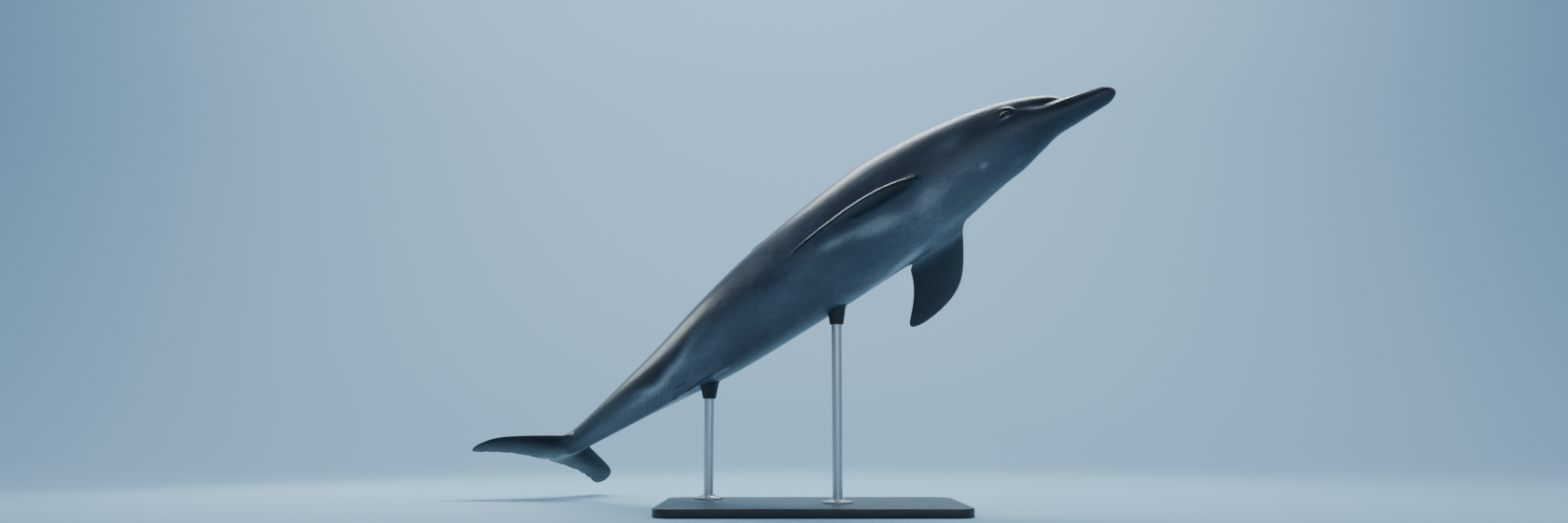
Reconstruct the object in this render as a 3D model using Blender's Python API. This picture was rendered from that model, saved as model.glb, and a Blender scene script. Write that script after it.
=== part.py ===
"""Bottlenose dolphin, life size, as a still display model on a plain stand.

The animal is first shaped straight: nose at x = 0, tail notch at x = LENGTH, y to its own right and
z to its back. pose() then bends that straight space along the spine and banks it over the stand.
In the world +Z is up, the nose points to +X, and the origin is under the middle of the base.
"""
import math

import bmesh
import bpy
from mathutils import Quaternion, Vector

# ------------------------------------------------------------------ driving sizes, in metres
LENGTH = 2.51           # nose tip to the notch between the flukes
GAP = 0.0003            # clearance between pieces that touch
BODY_SIDES = 28         # corners of one cross section of the body
BLADE_SIDES = 14        # corners of one cross section of a fin

# Three round forms blend into the body. Each station is the distance from the nose, the height of
# its back line, the height of its belly line, and its half width.
TRUNK = {
    "melon front": (0.118, -0.0130, -0.0290, 0.0150),
    "melon brow": (0.185, 0.0370, -0.0560, 0.0500),
    "melon top": (0.262, 0.0700, -0.0940, 0.0810),
    "blowhole": (0.350, 0.0940, -0.1240, 0.1080),
    "nape": (0.500, 0.1230, -0.1570, 0.1410),
    "shoulder": (0.625, 0.1445, -0.1785, 0.1610),
    "greatest girth": (0.800, 0.1635, -0.1960, 0.1760),
    "fin front": (1.000, 0.1600, -0.1945, 0.1705),
    "fin middle": (1.250, 0.1505, -0.1810, 0.1545),
    "loin": (1.500, 0.1285, -0.1550, 0.1300),
    "vent": (1.750, 0.0985, -0.1130, 0.0935),
    "tail stock": (2.000, 0.0730, -0.0780, 0.0610),
    "stock end": (2.250, 0.0390, -0.0460, 0.0330),
    "fluke root": (2.400, 0.0230, -0.0270, 0.0200),
    "notch": (LENGTH, 0.0110, -0.0110, 0.0100),
}
JAW = {
    "lip": (0.000, -0.0365, -0.0790, 0.0250),
    "beak": (0.075, -0.0275, -0.0875, 0.0355),
    "beak root": (0.150, -0.0130, -0.0955, 0.0465),
    "cheek": (0.200, -0.0050, -0.0985, 0.0540),
    "gape": (0.275, 0.0050, -0.1130, 0.0800),
    "throat": (0.375, 0.0100, -0.1340, 0.1060),
    "gullet": (0.550, 0.0100, -0.1500, 0.1125),
}
KEEL = {
    "start": (1.500, 0.1000, -0.1250, 0.0125),
    "vent": (1.750, 0.1065, -0.1205, 0.0250),
    "tail stock": (2.000, 0.0825, -0.0885, 0.0225),
    "stock end": (2.250, 0.0440, -0.0560, 0.0170),
    "fluke root": (2.375, 0.0260, -0.0350, 0.0140),
    "end": (2.465, 0.0130, -0.0130, 0.0100),
}
MELON_NOSE = 0.070      # length over which the melon rounds off in front
LIP_NOSE = 0.040        # length over which the beak rounds off in front
CREASE_BLEND = 0.012    # how softly the melon meets the beak
KEEL_BLEND = 0.025      # how softly the keels meet the tail stock

# Places of the thin cuts that part the body
HEAD_END = 0.415
NECK_END = 0.565
CHEST_END = 1.130
BELLY_END = 1.750
STOCK_END = 2.470

# Mouth line on the side of the head: distance from the nose and height
MOUTH_LINE = ((-0.010, -0.0530), (0.075, -0.0570), (0.150, -0.0590), (0.220, -0.0645), (0.285, -0.0560))
JAW_HINGE = (0.325, -0.0900)        # where the lower jaw's solid turns down to the throat
JAW_BACK = (0.350, -0.2000)

EYE_PLACE = (0.322, 67.0)           # distance from the nose, degrees round from the belly
EYE_RADIUS = 0.0135
EYE_DEPTH = 0.0085                  # eye centre below the surface of the head

# Flippers: front of the root, then how each one is held (degrees)
FLIPPER_ROOT = 0.620
FLIPPER_SPAN = 0.342
FLIPPER_CHORD = 0.208
FLIPPER_RAKE = 0.130                # steady lean back of the front edge
FLIPPER_HOOK = 0.120                # extra sweep of the front edge near the tip
FLIPPER_REAR_RAKE = 0.160           # sweep of the rear edge
FLIPPER_WRIST = 0.060               # how much narrower the flipper is where it leaves the body
FLIPPER_THICK = 0.038
FLIPPER_TAPER = 0.72                # share of that thickness lost by the tip
FLIPPER_SWELL = 0.55                # share gained where it leaves the body
FLIPPER_REACH = 0.16                # share of the span over which the root swells
FLIPPER_BURY = 0.070                # how far the root runs into the body
FLIPPER_TIP_SQUARENESS = 20
FLIPPER_HELD = {
    # side: round from the belly, below level, swept on from rest, twisted, tip bowed down (metres)
    "right": (44.5, 38.0, 17.3, 2.9, 0.0585),
    "left": (54.0, -10.5, 6.0, -1.0, 0.0),
}

DORSAL_FRONT = 0.970
DORSAL_HEIGHT = 0.192
DORSAL_BASE = 0.305
DORSAL_RAKE = 0.310                 # tip behind the front of the base
DORSAL_CURVE = 0.60                 # share of that rake that comes near the tip
DORSAL_HOOK = 0.080                 # how far the rear edge curves back to the tip
DORSAL_HEEL = 0.045                 # how far the rear edge runs out along the back
DORSAL_SPREAD = (0.060, 0.030)      # how far the root spreads forward and backward
DORSAL_THICK = 0.046
DORSAL_TAPER = 0.78
DORSAL_SWELL = 0.50
DORSAL_REACH = 0.25
DORSAL_BURY = 0.060
DORSAL_SINK = 0.006                 # base line of the fin below the back line at its front
DORSAL_SLOPE = 0.045                # how much the base line drops towards the tail
DORSAL_LEAN = 8.0                   # degrees to the left

FLUKE_HALF_SPAN = 0.283
FLUKE_ROOT = 2.290                  # front of the root on the midline
FLUKE_SWEEP = 0.182                 # steady lean back of the front edge
FLUKE_HOOK = 0.030                  # extra sweep of the front edge near the tip
FLUKE_NOTCH = 0.012                 # depth of the notch on the midline
FLUKE_NOTCH_WIDTH = 0.040           # share of the half span over which the notch closes
FLUKE_TIP_BACK = 0.116              # rear of the tips behind the notch
FLUKE_THICK = 0.041
FLUKE_TAPER = 0.80
FLUKE_TIP_SQUARENESS = 18           # a high number keeps the tip blunt
TEARDROP = 2.6          # scales the fin section so that its thickest place is the stated thickness
EDGE_HALF = 0.0012      # half thickness of a fin at its edges

# Pose: where the spine is at the pose station, and how the animal is turned there (degrees)
POSE_STATION = 1.000
POSE_PLACE = Vector((0.080, -0.020, 0.850))
TURN = -24.0            # nose turned from +X towards -Y
CLIMB = 31.3            # nose up
BANK = 37.1             # right side raised
# Bends of the spine in degrees for one body length, at stations along it
NOD = ((0.0, 0.0), (0.20, 0.0), (0.375, -100.0), (0.60, 25.0), (1.25, 0.0), (1.70, 72.0), (2.05, 24.0),
       (2.50, 20.0))
SIDE = ((0.0, -26.0), (1.25, -26.0), (2.50, -20.0))
TWIST = ((0.0, -8.0), (2.50, 30.0))
SPINE_STEPS = 251

# Stand
BASE_SIZE = (0.960, 0.600, 0.028)
BASE_CORNER = 0.060
BASE_RIM = 0.005                    # rounding of the top edge
ROD_RADIUS = 0.016
ROD_STATIONS = {"front": 1.000, "rear": 1.560}
FOOT_RADIUS = 0.048
FOOT_TOP_RADIUS = 0.039
FOOT_HEIGHT = 0.014
COLLAR_LOW_RADIUS = 0.022           # the rubber collar widens from the rod up to the body
COLLAR_HIGH_RADIUS = 0.057          # at the spine, inside the body
COLLAR_DEPTH = 0.034                # how far the collar shows below the skin
SEARCH_STEP = 0.012                 # spacing of the sections looked at to find the skin over a rod
SEARCH_RADIUS = 0.030               # how near the rod's axis a skin corner must be


# ------------------------------------------------------------------ smooth curves through stations
def straight_line(points, x):
    """Value at x of straight runs between (place, value) points."""
    for (x0, v0), (x1, v1) in zip(points, points[1:]):
        if x <= x1:
            return v0 + (v1 - v0) * max(0.0, (x - x0) / (x1 - x0))
    return points[-1][1]


def end_slopes(places, values):
    """Slopes that keep a curve through the values from overshooting."""
    steps = [b - a for a, b in zip(places, places[1:])]
    rates = [(b - a) / s for a, b, s in zip(values, values[1:], steps)]
    slopes = [rates[0]]
    for s0, s1, r0, r1 in zip(steps, steps[1:], rates, rates[1:]):
        if r0 * r1 <= 0.0:
            slopes.append(0.0)
        else:
            w0, w1 = 2 * s1 + s0, s1 + 2 * s0
            slopes.append((w0 + w1) / (w0 / r0 + w1 / r1))
    return slopes + [rates[-1]]


def smooth_line(places, values, x):
    """Value at x of a smooth curve through the stations."""
    slopes = end_slopes(places, values)
    x = min(max(x, places[0]), places[-1])
    i = max(k for k in range(len(places) - 1) if places[k] <= x)
    step = places[i + 1] - places[i]
    t = (x - places[i]) / step
    start = (1 + 2 * t) * (1 - t) ** 2 * values[i] + t * (1 - t) ** 2 * step * slopes[i]
    end = t * t * (3 - 2 * t) * values[i + 1] + t * t * (t - 1) * step * slopes[i + 1]
    return start + end


def ease(x, start, end):
    """0 before start, 1 after end, smooth between."""
    t = min(max((x - start) / (end - start), 0.0), 1.0)
    return t * t * (3 - 2 * t)


# ------------------------------------------------------------------ the body's cross sections
def form_at(form, x, nose=0.0):
    """Middle height, half height and half width of a round form at x."""
    places, back, belly, half = zip(*form.values())
    top = smooth_line(places, back, x)
    low = smooth_line(places, belly, x)
    closing = 1.0
    if nose:
        closing = math.sqrt(max(1 - (1 - min((x - places[0]) / nose, 1.0)) ** 2, 1e-6))
    return (top + low) / 2, (top - low) / 2 * closing, smooth_line(places, half, x) * closing


def forms_at(x):
    """The round forms that make up the section at x, each with the softness of its join."""
    found = []
    if x < JAW["gullet"][0]:
        found.append((form_at(JAW, x, LIP_NOSE), CREASE_BLEND))
    if x > TRUNK["melon front"][0]:
        found.append((form_at(TRUNK, x, MELON_NOSE), CREASE_BLEND))
    if KEEL["start"][0] < x < KEEL["end"][0]:
        found.append((form_at(KEEL, x), KEEL_BLEND))
    return found


def blend(a, b, softness):
    """The smaller of two distances, rounded where they cross."""
    h = min(max(0.5 + 0.5 * (b - a) / softness, 0.0), 1.0)
    return b * (1 - h) + a * h - softness * h * (1 - h)


def outside(forms, y, z):
    """Distance out from the skin, negative inside."""
    total = None
    for (middle, tall, wide), softness in forms:
        away = (math.hypot(y / wide, (z - middle) / tall) - 1) * min(tall, wide)
        total = away if total is None else blend(total, away, softness)
    return total


def core_height(x):
    """Height of the point inside the section that its corners are measured from."""
    jaw = form_at(JAW, x)[0]
    trunk = form_at(TRUNK, x)[0]
    t = ease(x, 0.140, 0.300)
    return jaw * (1 - t) + trunk * t


def skin_point(x, angle, grow=0.0):
    """Point on the skin at x, at an angle from the belly towards the right side."""
    forms = forms_at(x)
    core = core_height(x)
    right, up = math.sin(angle), -math.cos(angle)
    near, far = 0.0, 0.3
    for _ in range(24):
        r = (near + far) / 2
        if outside(forms, r * right, core + r * up) < 0:
            near = r
        else:
            far = r
    return Vector((x, (near + grow) * right, core + (near + grow) * up))


def section(x, grow=0.0):
    """Corners of the body's cross section at x."""
    step = 2 * math.pi / BODY_SIDES
    return [skin_point(x, step * k, grow) for k in range(BODY_SIDES)]


def ring_places(start, end):
    """Places of the sections from start to end: close on the head, wide on the trunk.

    Every cut has a section on both its faces, so pieces and tools share the same facets.
    """
    cuts = [c + side for c in (HEAD_END, NECK_END, CHEST_END, BELLY_END) for side in (0.0, GAP)]
    places = [start, end] + [c for c in cuts if start < c < end]
    x = 0.0
    while x < end:
        if start < x and all(abs(x - place) > 0.006 for place in cuts + [start, end]):
            places.append(x)
        x += 0.009 if x < 0.060 else 0.013 if x < 0.240 else 0.030 if x < 0.560 else 0.058
    return sorted(places)


# ------------------------------------------------------------------ the pose
def spine_frames():
    """Place and tailward, rightward and backward directions at even steps along the spine."""
    turn, climb, bank = math.radians(TURN), math.radians(CLIMB), math.radians(BANK)
    nose = Vector((math.cos(climb) * math.cos(turn), math.cos(climb) * math.sin(turn), math.sin(climb)))
    level_right = nose.cross(Vector((0, 0, 1))).normalized()
    back = level_right.cross(nose)
    back = math.cos(bank) * back - math.sin(bank) * level_right
    step = LENGTH / SPINE_STEPS
    first = round(POSE_STATION / step)
    frames = {first: (POSE_PLACE, -nose, nose.cross(back), back)}
    for way, last in ((1, SPINE_STEPS), (-1, 0)):
        for k in range(first, last, way):
            place, tail, right, back = frames[k]
            x = (k + way / 2) * step
            spin = (-straight_line(NOD, x) * right + straight_line(SIDE, x) * back
                    - straight_line(TWIST, x) * tail) * (way / SPINE_STEPS)
            swing = Quaternion(spin.normalized(), math.radians(spin.length))
            new_tail = swing @ tail
            place = place + (tail + new_tail).normalized() * step * way
            frames[k + way] = (place, new_tail, swing @ right, swing @ back)
    return [frames[k] for k in range(SPINE_STEPS + 1)]


FRAMES = spine_frames()


def pose(point):
    """Carry a point of the straight animal to its place in the world."""
    step = LENGTH / SPINE_STEPS
    k = min(max(int(point.x / step), 0), SPINE_STEPS - 1)
    t = point.x / step - k
    inside = min(max(t, 0.0), 1.0)
    here, there = FRAMES[k], FRAMES[k + 1]
    place, tail, right, back = (a.lerp(b, inside) for a, b in zip(here, there))
    return place + (t - inside) * step * tail + point.y * right + point.z * back


# ------------------------------------------------------------------ making objects
def principled(name, colour, roughness, metallic=0.0):
    """A material with the piece's own colour and finish."""
    material = bpy.data.materials.new(name)
    material.use_nodes = True
    shader = material.node_tree.nodes["Principled BSDF"]
    shader.inputs["Base Color"].default_value = (*colour, 1.0)
    shader.inputs["Roughness"].default_value = roughness
    shader.inputs["Metallic"].default_value = metallic
    return material


def finish(name, bm, material):
    """Turn a bmesh into a smooth-shaded object."""
    bmesh.ops.recalc_face_normals(bm, faces=bm.faces)
    mesh = bpy.data.meshes.new(name)
    bm.to_mesh(mesh)
    bm.free()
    mesh.shade_smooth()
    mesh.set_sharp_from_angle(angle=math.radians(40))
    mesh.materials.append(material)
    obj = bpy.data.objects.new(name, mesh)
    bpy.context.scene.collection.objects.link(obj)
    return obj


def loft(name, rings, material):
    """A closed body through a row of rings of points, posed with the animal.

    Its walls are triangles that all lean the same way, so a tool's facets match its piece's.
    """
    bm = bmesh.new()
    loops = [[bm.verts.new(pose(p)) for p in ring] for ring in rings]
    for here, there in zip(loops, loops[1:]):
        for k in range(len(here)):
            bm.faces.new((here[k - 1], here[k], there[k]))
            bm.faces.new((here[k - 1], there[k], there[k - 1]))
    bm.faces.new(loops[0])
    bm.faces.new(loops[-1])
    return finish(name, bm, material)


def body_length(name, start, end, material, grow=0.0):
    """A length of the body between two cuts."""
    return loft(name, [section(x, grow) for x in ring_places(start, end)], material)


def as_cutter(obj):
    """Mark an object as a tool that is not part of the model."""
    obj.hide_render = True
    obj.display_type = "WIRE"
    return obj


def carve(obj, tool, operation="DIFFERENCE"):
    """Cut an object with a tool, or keep only what is inside it."""
    modifier = obj.modifiers.new(operation.lower(), "BOOLEAN")
    modifier.operation = operation
    modifier.solver = "EXACT"
    modifier.object = tool


# ------------------------------------------------------------------ head, lower jaw and eyes
def mouth_block(name, offset, material):
    """Block below the mouth line, from the front of the nose back to the throat."""
    places, heights = zip(*MOUTH_LINE)
    count = 24
    bm = bmesh.new()
    outline = []
    for k in range(count + 1):
        x = places[0] + (places[-1] - places[0]) * k / count
        outline.append((x, smooth_line(places, heights, x) + offset))
    outline.append((JAW_HINGE[0] + offset, JAW_HINGE[1]))
    outline.append((JAW_BACK[0] + offset, JAW_BACK[1]))
    outline.append((places[0], JAW_BACK[1]))
    sides = []
    for y in (-0.160, 0.160):
        corners = [bm.verts.new(pose(Vector((x, y, z)))) for x, z in outline]
        sides.append(corners)
    for k in range(len(outline)):
        bm.faces.new((sides[0][k - 1], sides[0][k], sides[1][k], sides[1][k - 1]))
    for side in sides:
        bm.faces.new(side)
    bmesh.ops.triangulate(bm, faces=bm.faces)
    return as_cutter(finish(name, bm, material))


def eye_middle(side):
    """Centre of an eye in the straight animal; side is 1 for the right and -1 for the left."""
    x, degrees = EYE_PLACE
    surface = skin_point(x, side * math.radians(degrees))
    inward = Vector((x, 0, core_height(x))) - surface
    return surface + inward.normalized() * EYE_DEPTH


def eye_ball(name, side, radius, material):
    """A round eye, or the tool for its socket when made slightly larger."""
    bm = bmesh.new()
    bmesh.ops.create_uvsphere(bm, u_segments=16, v_segments=10, radius=radius)
    bmesh.ops.translate(bm, vec=pose(eye_middle(side)), verts=bm.verts)
    return finish(name, bm, material)


def make_head(skin, dark_skin, eye):
    head = body_length("head", 0.0004, HEAD_END, skin)
    jaw = body_length("lower_jaw", 0.0004, HEAD_END - 0.020, skin)
    carve(head, mouth_block("tool_above_jaw", GAP / 2, dark_skin))
    carve(jaw, mouth_block("tool_jaw", -GAP / 2, dark_skin), "INTERSECT")
    for name, side in (("right", 1), ("left", -1)):
        eye_ball(f"eye_{name}", side, EYE_RADIUS, eye)
        carve(head, as_cutter(eye_ball(f"tool_socket_{name}", side, EYE_RADIUS + GAP, eye)))


# ------------------------------------------------------------------ neck, chest, belly, tail stock
def make_trunk(skin, pale_skin):
    cuts = (
        ("neck", HEAD_END, NECK_END, skin),
        ("chest", NECK_END, CHEST_END, skin),
        ("belly", CHEST_END, BELLY_END, pale_skin),
        ("tail_stock", BELLY_END, STOCK_END, skin),
    )
    for name, start, end, material in cuts:
        body_length(name, start + GAP, end, material)


# ------------------------------------------------------------------ fins
def blade(name, root, out, back, span, edges, thickness, material, bury=0.050, rows=11, bow=0.0):
    """A fin: teardrop sections from inside the body to a rounded tip.

    edges(t) gives the front and rear edge behind the root at the part t of the span, and
    thickness(t) the greatest thickness there. bury is how far the root runs into the body, and
    bow how far the tip bends towards the fin's first face.
    """
    face = back.cross(out).normalized()
    rings = []
    parts = [-bury / span] + [math.sin(math.pi / 2 * k / rows) for k in range(rows)] + [0.997]
    for t in parts:
        front, rear = edges(max(t, 0.0))
        tall = thickness(max(t, 0.0)) / 2
        ring = []
        for k in range(BLADE_SIDES):
            turn = 2 * math.pi * k / BLADE_SIDES
            u = (1 - math.cos(turn)) / 2
            teardrop = TEARDROP * math.sqrt(u) * (1 - u) * tall
            side = math.copysign(teardrop, math.sin(turn)) + EDGE_HALF * math.sin(turn) + bow * t * t
            ring.append(root + out * (span * t) + back * (front + (rear - front) * u) + face * side)
        rings.append(ring)
    return loft(name, rings, material)


def flare(t, reach):
    """How much a fin widens where it grows out of the body: 1 at the root, 0 past the reach."""
    return max(0.0, 1 - t / reach) ** 2


def rounded_tip(front, rear, t, squareness):
    """Edges brought together towards the tip; a high squareness keeps the tip blunt."""
    middle = (front + rear) / 2
    half = (rear - front) / 2 * math.sqrt(max(1 - t ** squareness, 0.0)) + 0.002
    return middle - half, middle + half


def flipper_edges(t):
    front = FLIPPER_RAKE * t ** 1.15 + FLIPPER_HOOK * t ** 6.5
    rear = FLIPPER_CHORD + FLIPPER_REAR_RAKE * t ** 2 - FLIPPER_WRIST * max(0.0, 1 - t / 0.20)
    return rounded_tip(front, rear, t, FLIPPER_TIP_SQUARENESS)


def make_flippers(material, body_tool):
    for name, side in (("right", 1), ("left", -1)):
        round_from_belly, below, swept, twisted = (math.radians(a) for a in FLIPPER_HELD[name][:4])
        root = skin_point(FLIPPER_ROOT, side * round_from_belly)
        tail = Vector((1, 0, 0))
        out = Vector((0, side * math.cos(below), -math.sin(below)))
        upper = tail.cross(out)
        back = math.cos(twisted) * tail + math.sin(twisted) * upper
        swept_out = math.cos(swept) * out + math.sin(swept) * back
        swept_back = math.cos(swept) * back - math.sin(swept) * out
        flipper = blade(
            f"flipper_{name}", root, swept_out, swept_back, FLIPPER_SPAN, flipper_edges,
            lambda t: FLIPPER_THICK * (1 - FLIPPER_TAPER * t + FLIPPER_SWELL * flare(t, FLIPPER_REACH)),
            material, bury=FLIPPER_BURY, bow=-side * FLIPPER_HELD[name][4],
        )
        carve(flipper, body_tool)


def dorsal_edges(t):
    lean_back = (1 - DORSAL_CURVE) * t + DORSAL_CURVE * t ** 2.2
    spread = flare(t, DORSAL_REACH)
    front = DORSAL_RAKE * lean_back - DORSAL_SPREAD[0] * spread
    heel = DORSAL_HEEL * (1 - t) ** 3 + DORSAL_SPREAD[1] * spread
    return front, DORSAL_BASE + DORSAL_HOOK * t ** 3.2 + heel


def make_dorsal_fin(material, body_tool):
    root = skin_point(DORSAL_FRONT, math.pi)
    root.z -= DORSAL_SINK
    lean = math.radians(DORSAL_LEAN)
    up = Vector((0, -math.sin(lean), math.cos(lean)))
    fin = blade(
        "dorsal_fin", root, up, Vector((1, 0, -DORSAL_SLOPE)).normalized(), DORSAL_HEIGHT, dorsal_edges,
        lambda t: DORSAL_THICK * (1 - DORSAL_TAPER * t + DORSAL_SWELL * flare(t, DORSAL_REACH)),
        material, bury=DORSAL_BURY,
    )
    carve(fin, body_tool)


def fluke_edges(t):
    front = FLUKE_SWEEP * t + FLUKE_HOOK * t ** 8
    notch = FLUKE_NOTCH * math.exp(-t / FLUKE_NOTCH_WIDTH)
    rear = LENGTH + FLUKE_NOTCH - notch - FLUKE_ROOT + (FLUKE_TIP_BACK - FLUKE_NOTCH) * t ** 2.7
    return rounded_tip(front, rear, t, FLUKE_TIP_SQUARENESS)


def make_flukes(material, stock_tool):
    for name, side in (("right", 1), ("left", -1)):
        root = Vector((FLUKE_ROOT, side * GAP / 2, 0))
        fluke = blade(
            f"fluke_{name}", root, Vector((0, side, 0)), Vector((1, 0, 0)), FLUKE_HALF_SPAN,
            fluke_edges, lambda t: FLUKE_THICK * (1 - FLUKE_TAPER * t), material, bury=0.0, rows=12,
        )
        carve(fluke, stock_tool)


# ------------------------------------------------------------------ stand
def upright(name, x, y, low, high, radius_low, radius_high, material, sides=24):
    """A round upright piece, straight or tapered."""
    bm = bmesh.new()
    bmesh.ops.create_cone(bm, cap_ends=True, segments=sides, radius1=radius_low, radius2=radius_high,
                          depth=high - low)
    bmesh.ops.translate(bm, vec=(x, y, (low + high) / 2), verts=bm.verts)
    return finish(name, bm, material)


def skin_above(x, y, station):
    """Height of the skin's lower side over a point of the floor, near a station of the body."""
    nearest = None
    for k in range(-12, 13):
        for point in section(station + SEARCH_STEP * k):
            world = pose(point)
            away = math.hypot(world.x - x, world.y - y)
            if away < SEARCH_RADIUS and (nearest is None or world.z < nearest):
                nearest = world.z
    return nearest


def make_stand(board, steel, rubber, body_tool):
    bm = bmesh.new()
    bmesh.ops.create_cube(bm, size=1.0)
    bmesh.ops.scale(bm, vec=BASE_SIZE, verts=bm.verts)
    bmesh.ops.translate(bm, vec=(0, 0, BASE_SIZE[2] / 2), verts=bm.verts)
    corners = [e for e in bm.edges if abs(e.verts[0].co.z - e.verts[1].co.z) > 0.001]
    bmesh.ops.bevel(bm, geom=corners, offset=BASE_CORNER, segments=6, profile=0.5, affect="EDGES",
                    material=-1)
    rim = [e for e in bm.edges if min(v.co.z for v in e.verts) > BASE_SIZE[2] - 0.001]
    bmesh.ops.bevel(bm, geom=rim, offset=BASE_RIM, segments=2, profile=0.5, affect="EDGES", material=-1)
    finish("stand_base", bm, board)

    for name, station in ROD_STATIONS.items():
        spine = pose(Vector((station, 0, core_height(station))))
        skin = skin_above(spine.x, spine.y, station)
        foot_top = BASE_SIZE[2] + GAP + FOOT_HEIGHT
        upright(f"stand_foot_{name}", spine.x, spine.y, BASE_SIZE[2] + GAP, foot_top, FOOT_RADIUS,
                FOOT_TOP_RADIUS, steel)
        collar_low = skin - COLLAR_DEPTH
        upright(f"stand_rod_{name}", spine.x, spine.y, foot_top + GAP, collar_low - GAP, ROD_RADIUS,
                ROD_RADIUS, steel)
        collar = upright(f"stand_collar_{name}", spine.x, spine.y, collar_low, spine.z,
                         COLLAR_LOW_RADIUS, COLLAR_HIGH_RADIUS, rubber)
        carve(collar, body_tool)


# ------------------------------------------------------------------ build
def main():
    for obj in list(bpy.data.objects):
        bpy.data.objects.remove(obj, do_unlink=True)

    skin = principled("dolphin_skin", (0.105, 0.135, 0.165), 0.38)
    pale_skin = principled("dolphin_belly", (0.240, 0.270, 0.290), 0.38)
    fin_skin = principled("dolphin_fins", (0.060, 0.075, 0.095), 0.36)
    eye = principled("dolphin_eye", (0.015, 0.011, 0.009), 0.08)
    board = principled("stand_board", (0.040, 0.042, 0.045), 0.45)
    steel = principled("stand_steel", (0.560, 0.570, 0.580), 0.30, 1.0)
    rubber = principled("stand_rubber", (0.020, 0.020, 0.022), 0.60)

    body_tool = as_cutter(body_length("tool_body", NECK_END - 0.100, 2.300, skin, GAP))
    stock_tool = as_cutter(body_length("tool_stock", BELLY_END, STOCK_END + GAP, skin, GAP))

    make_head(skin, fin_skin, eye)
    make_trunk(skin, pale_skin)
    make_flippers(fin_skin, body_tool)
    make_dorsal_fin(fin_skin, body_tool)
    make_flukes(fin_skin, stock_tool)
    make_stand(board, steel, rubber, body_tool)


main()
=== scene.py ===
import math

import bmesh
import bpy
import numpy as np
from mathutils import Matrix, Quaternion, Vector
from mathutils.bvhtree import BVHTree


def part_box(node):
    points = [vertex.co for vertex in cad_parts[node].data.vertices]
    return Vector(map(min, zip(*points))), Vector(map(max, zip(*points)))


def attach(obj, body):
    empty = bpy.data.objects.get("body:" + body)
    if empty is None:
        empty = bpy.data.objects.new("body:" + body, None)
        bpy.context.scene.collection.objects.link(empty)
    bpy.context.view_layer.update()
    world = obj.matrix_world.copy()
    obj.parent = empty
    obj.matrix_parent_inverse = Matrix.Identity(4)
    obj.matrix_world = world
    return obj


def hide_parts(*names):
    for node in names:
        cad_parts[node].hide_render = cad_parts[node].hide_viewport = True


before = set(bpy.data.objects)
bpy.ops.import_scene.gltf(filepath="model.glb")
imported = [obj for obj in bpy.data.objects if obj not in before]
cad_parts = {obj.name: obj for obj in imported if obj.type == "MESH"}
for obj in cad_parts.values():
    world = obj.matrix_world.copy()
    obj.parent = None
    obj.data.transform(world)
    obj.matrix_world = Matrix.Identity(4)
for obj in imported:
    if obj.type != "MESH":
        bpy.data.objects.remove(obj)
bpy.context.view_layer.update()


# ---- The body's shape
# A bottlenose dolphin is a firm spindle of blubber under one smooth skin: a round trunk, a beak with the
# lower jaw, and thin keels along the tail stock. Each table gives, for places from the nose, the height
# of the back line, the height of the belly line and the half width, all in metres on a straight animal.
nose_to_notch = 2.51
trunk = (
    (0.118, -0.0130, -0.0290, 0.0150), (0.185, 0.0370, -0.0560, 0.0500),
    (0.262, 0.0700, -0.0940, 0.0810), (0.350, 0.0940, -0.1240, 0.1080),
    (0.500, 0.1230, -0.1570, 0.1410), (0.625, 0.1445, -0.1785, 0.1610),
    (0.800, 0.1635, -0.1960, 0.1760), (1.000, 0.1600, -0.1945, 0.1705),
    (1.250, 0.1505, -0.1810, 0.1545), (1.500, 0.1285, -0.1550, 0.1300),
    (1.750, 0.0985, -0.1130, 0.0935), (2.000, 0.0730, -0.0780, 0.0610),
    (2.250, 0.0390, -0.0460, 0.0330), (2.400, 0.0230, -0.0270, 0.0200),
    (2.510, 0.0110, -0.0110, 0.0100),
)
beak_and_throat = (
    (0.000, -0.0365, -0.0790, 0.0250), (0.075, -0.0275, -0.0875, 0.0355),
    (0.150, -0.0130, -0.0955, 0.0465), (0.200, -0.0050, -0.0985, 0.0540),
    (0.275, 0.0050, -0.1130, 0.0800), (0.375, 0.0100, -0.1340, 0.1060),
    (0.550, 0.0100, -0.1500, 0.1125),
)
tail_keels = (
    (1.500, 0.1000, -0.1250, 0.0125), (1.750, 0.1065, -0.1205, 0.0250),
    (2.000, 0.0825, -0.0885, 0.0225), (2.250, 0.0440, -0.0560, 0.0170),
    (2.375, 0.0260, -0.0350, 0.0140), (2.465, 0.0130, -0.0130, 0.0100),
)
# how far back the rounding of the melon's and the beak's front ends runs
melon_nose, beak_nose = 0.070, 0.040
# the crease before the melon is softer over the beak and sharpens along this stretch
crease_softness, crease_softer_ahead, crease_sharpens = 0.009, 0.016, (0.120, 0.170)
keel_softness = 0.025
# the core line rises from the middle of the beak to the middle of the trunk along this stretch
core_rises = (0.140, 0.300)
# the skin is looked for up to this far from the core, halving the stretch so many times
widest_search, skin_halvings = 0.3, 26


def ease(value, start, end):
    """0 before start, 1 after end, smooth between."""
    t = np.clip((value - start) / (end - start), 0.0, 1.0)
    return t * t * (3 - 2 * t)


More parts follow.
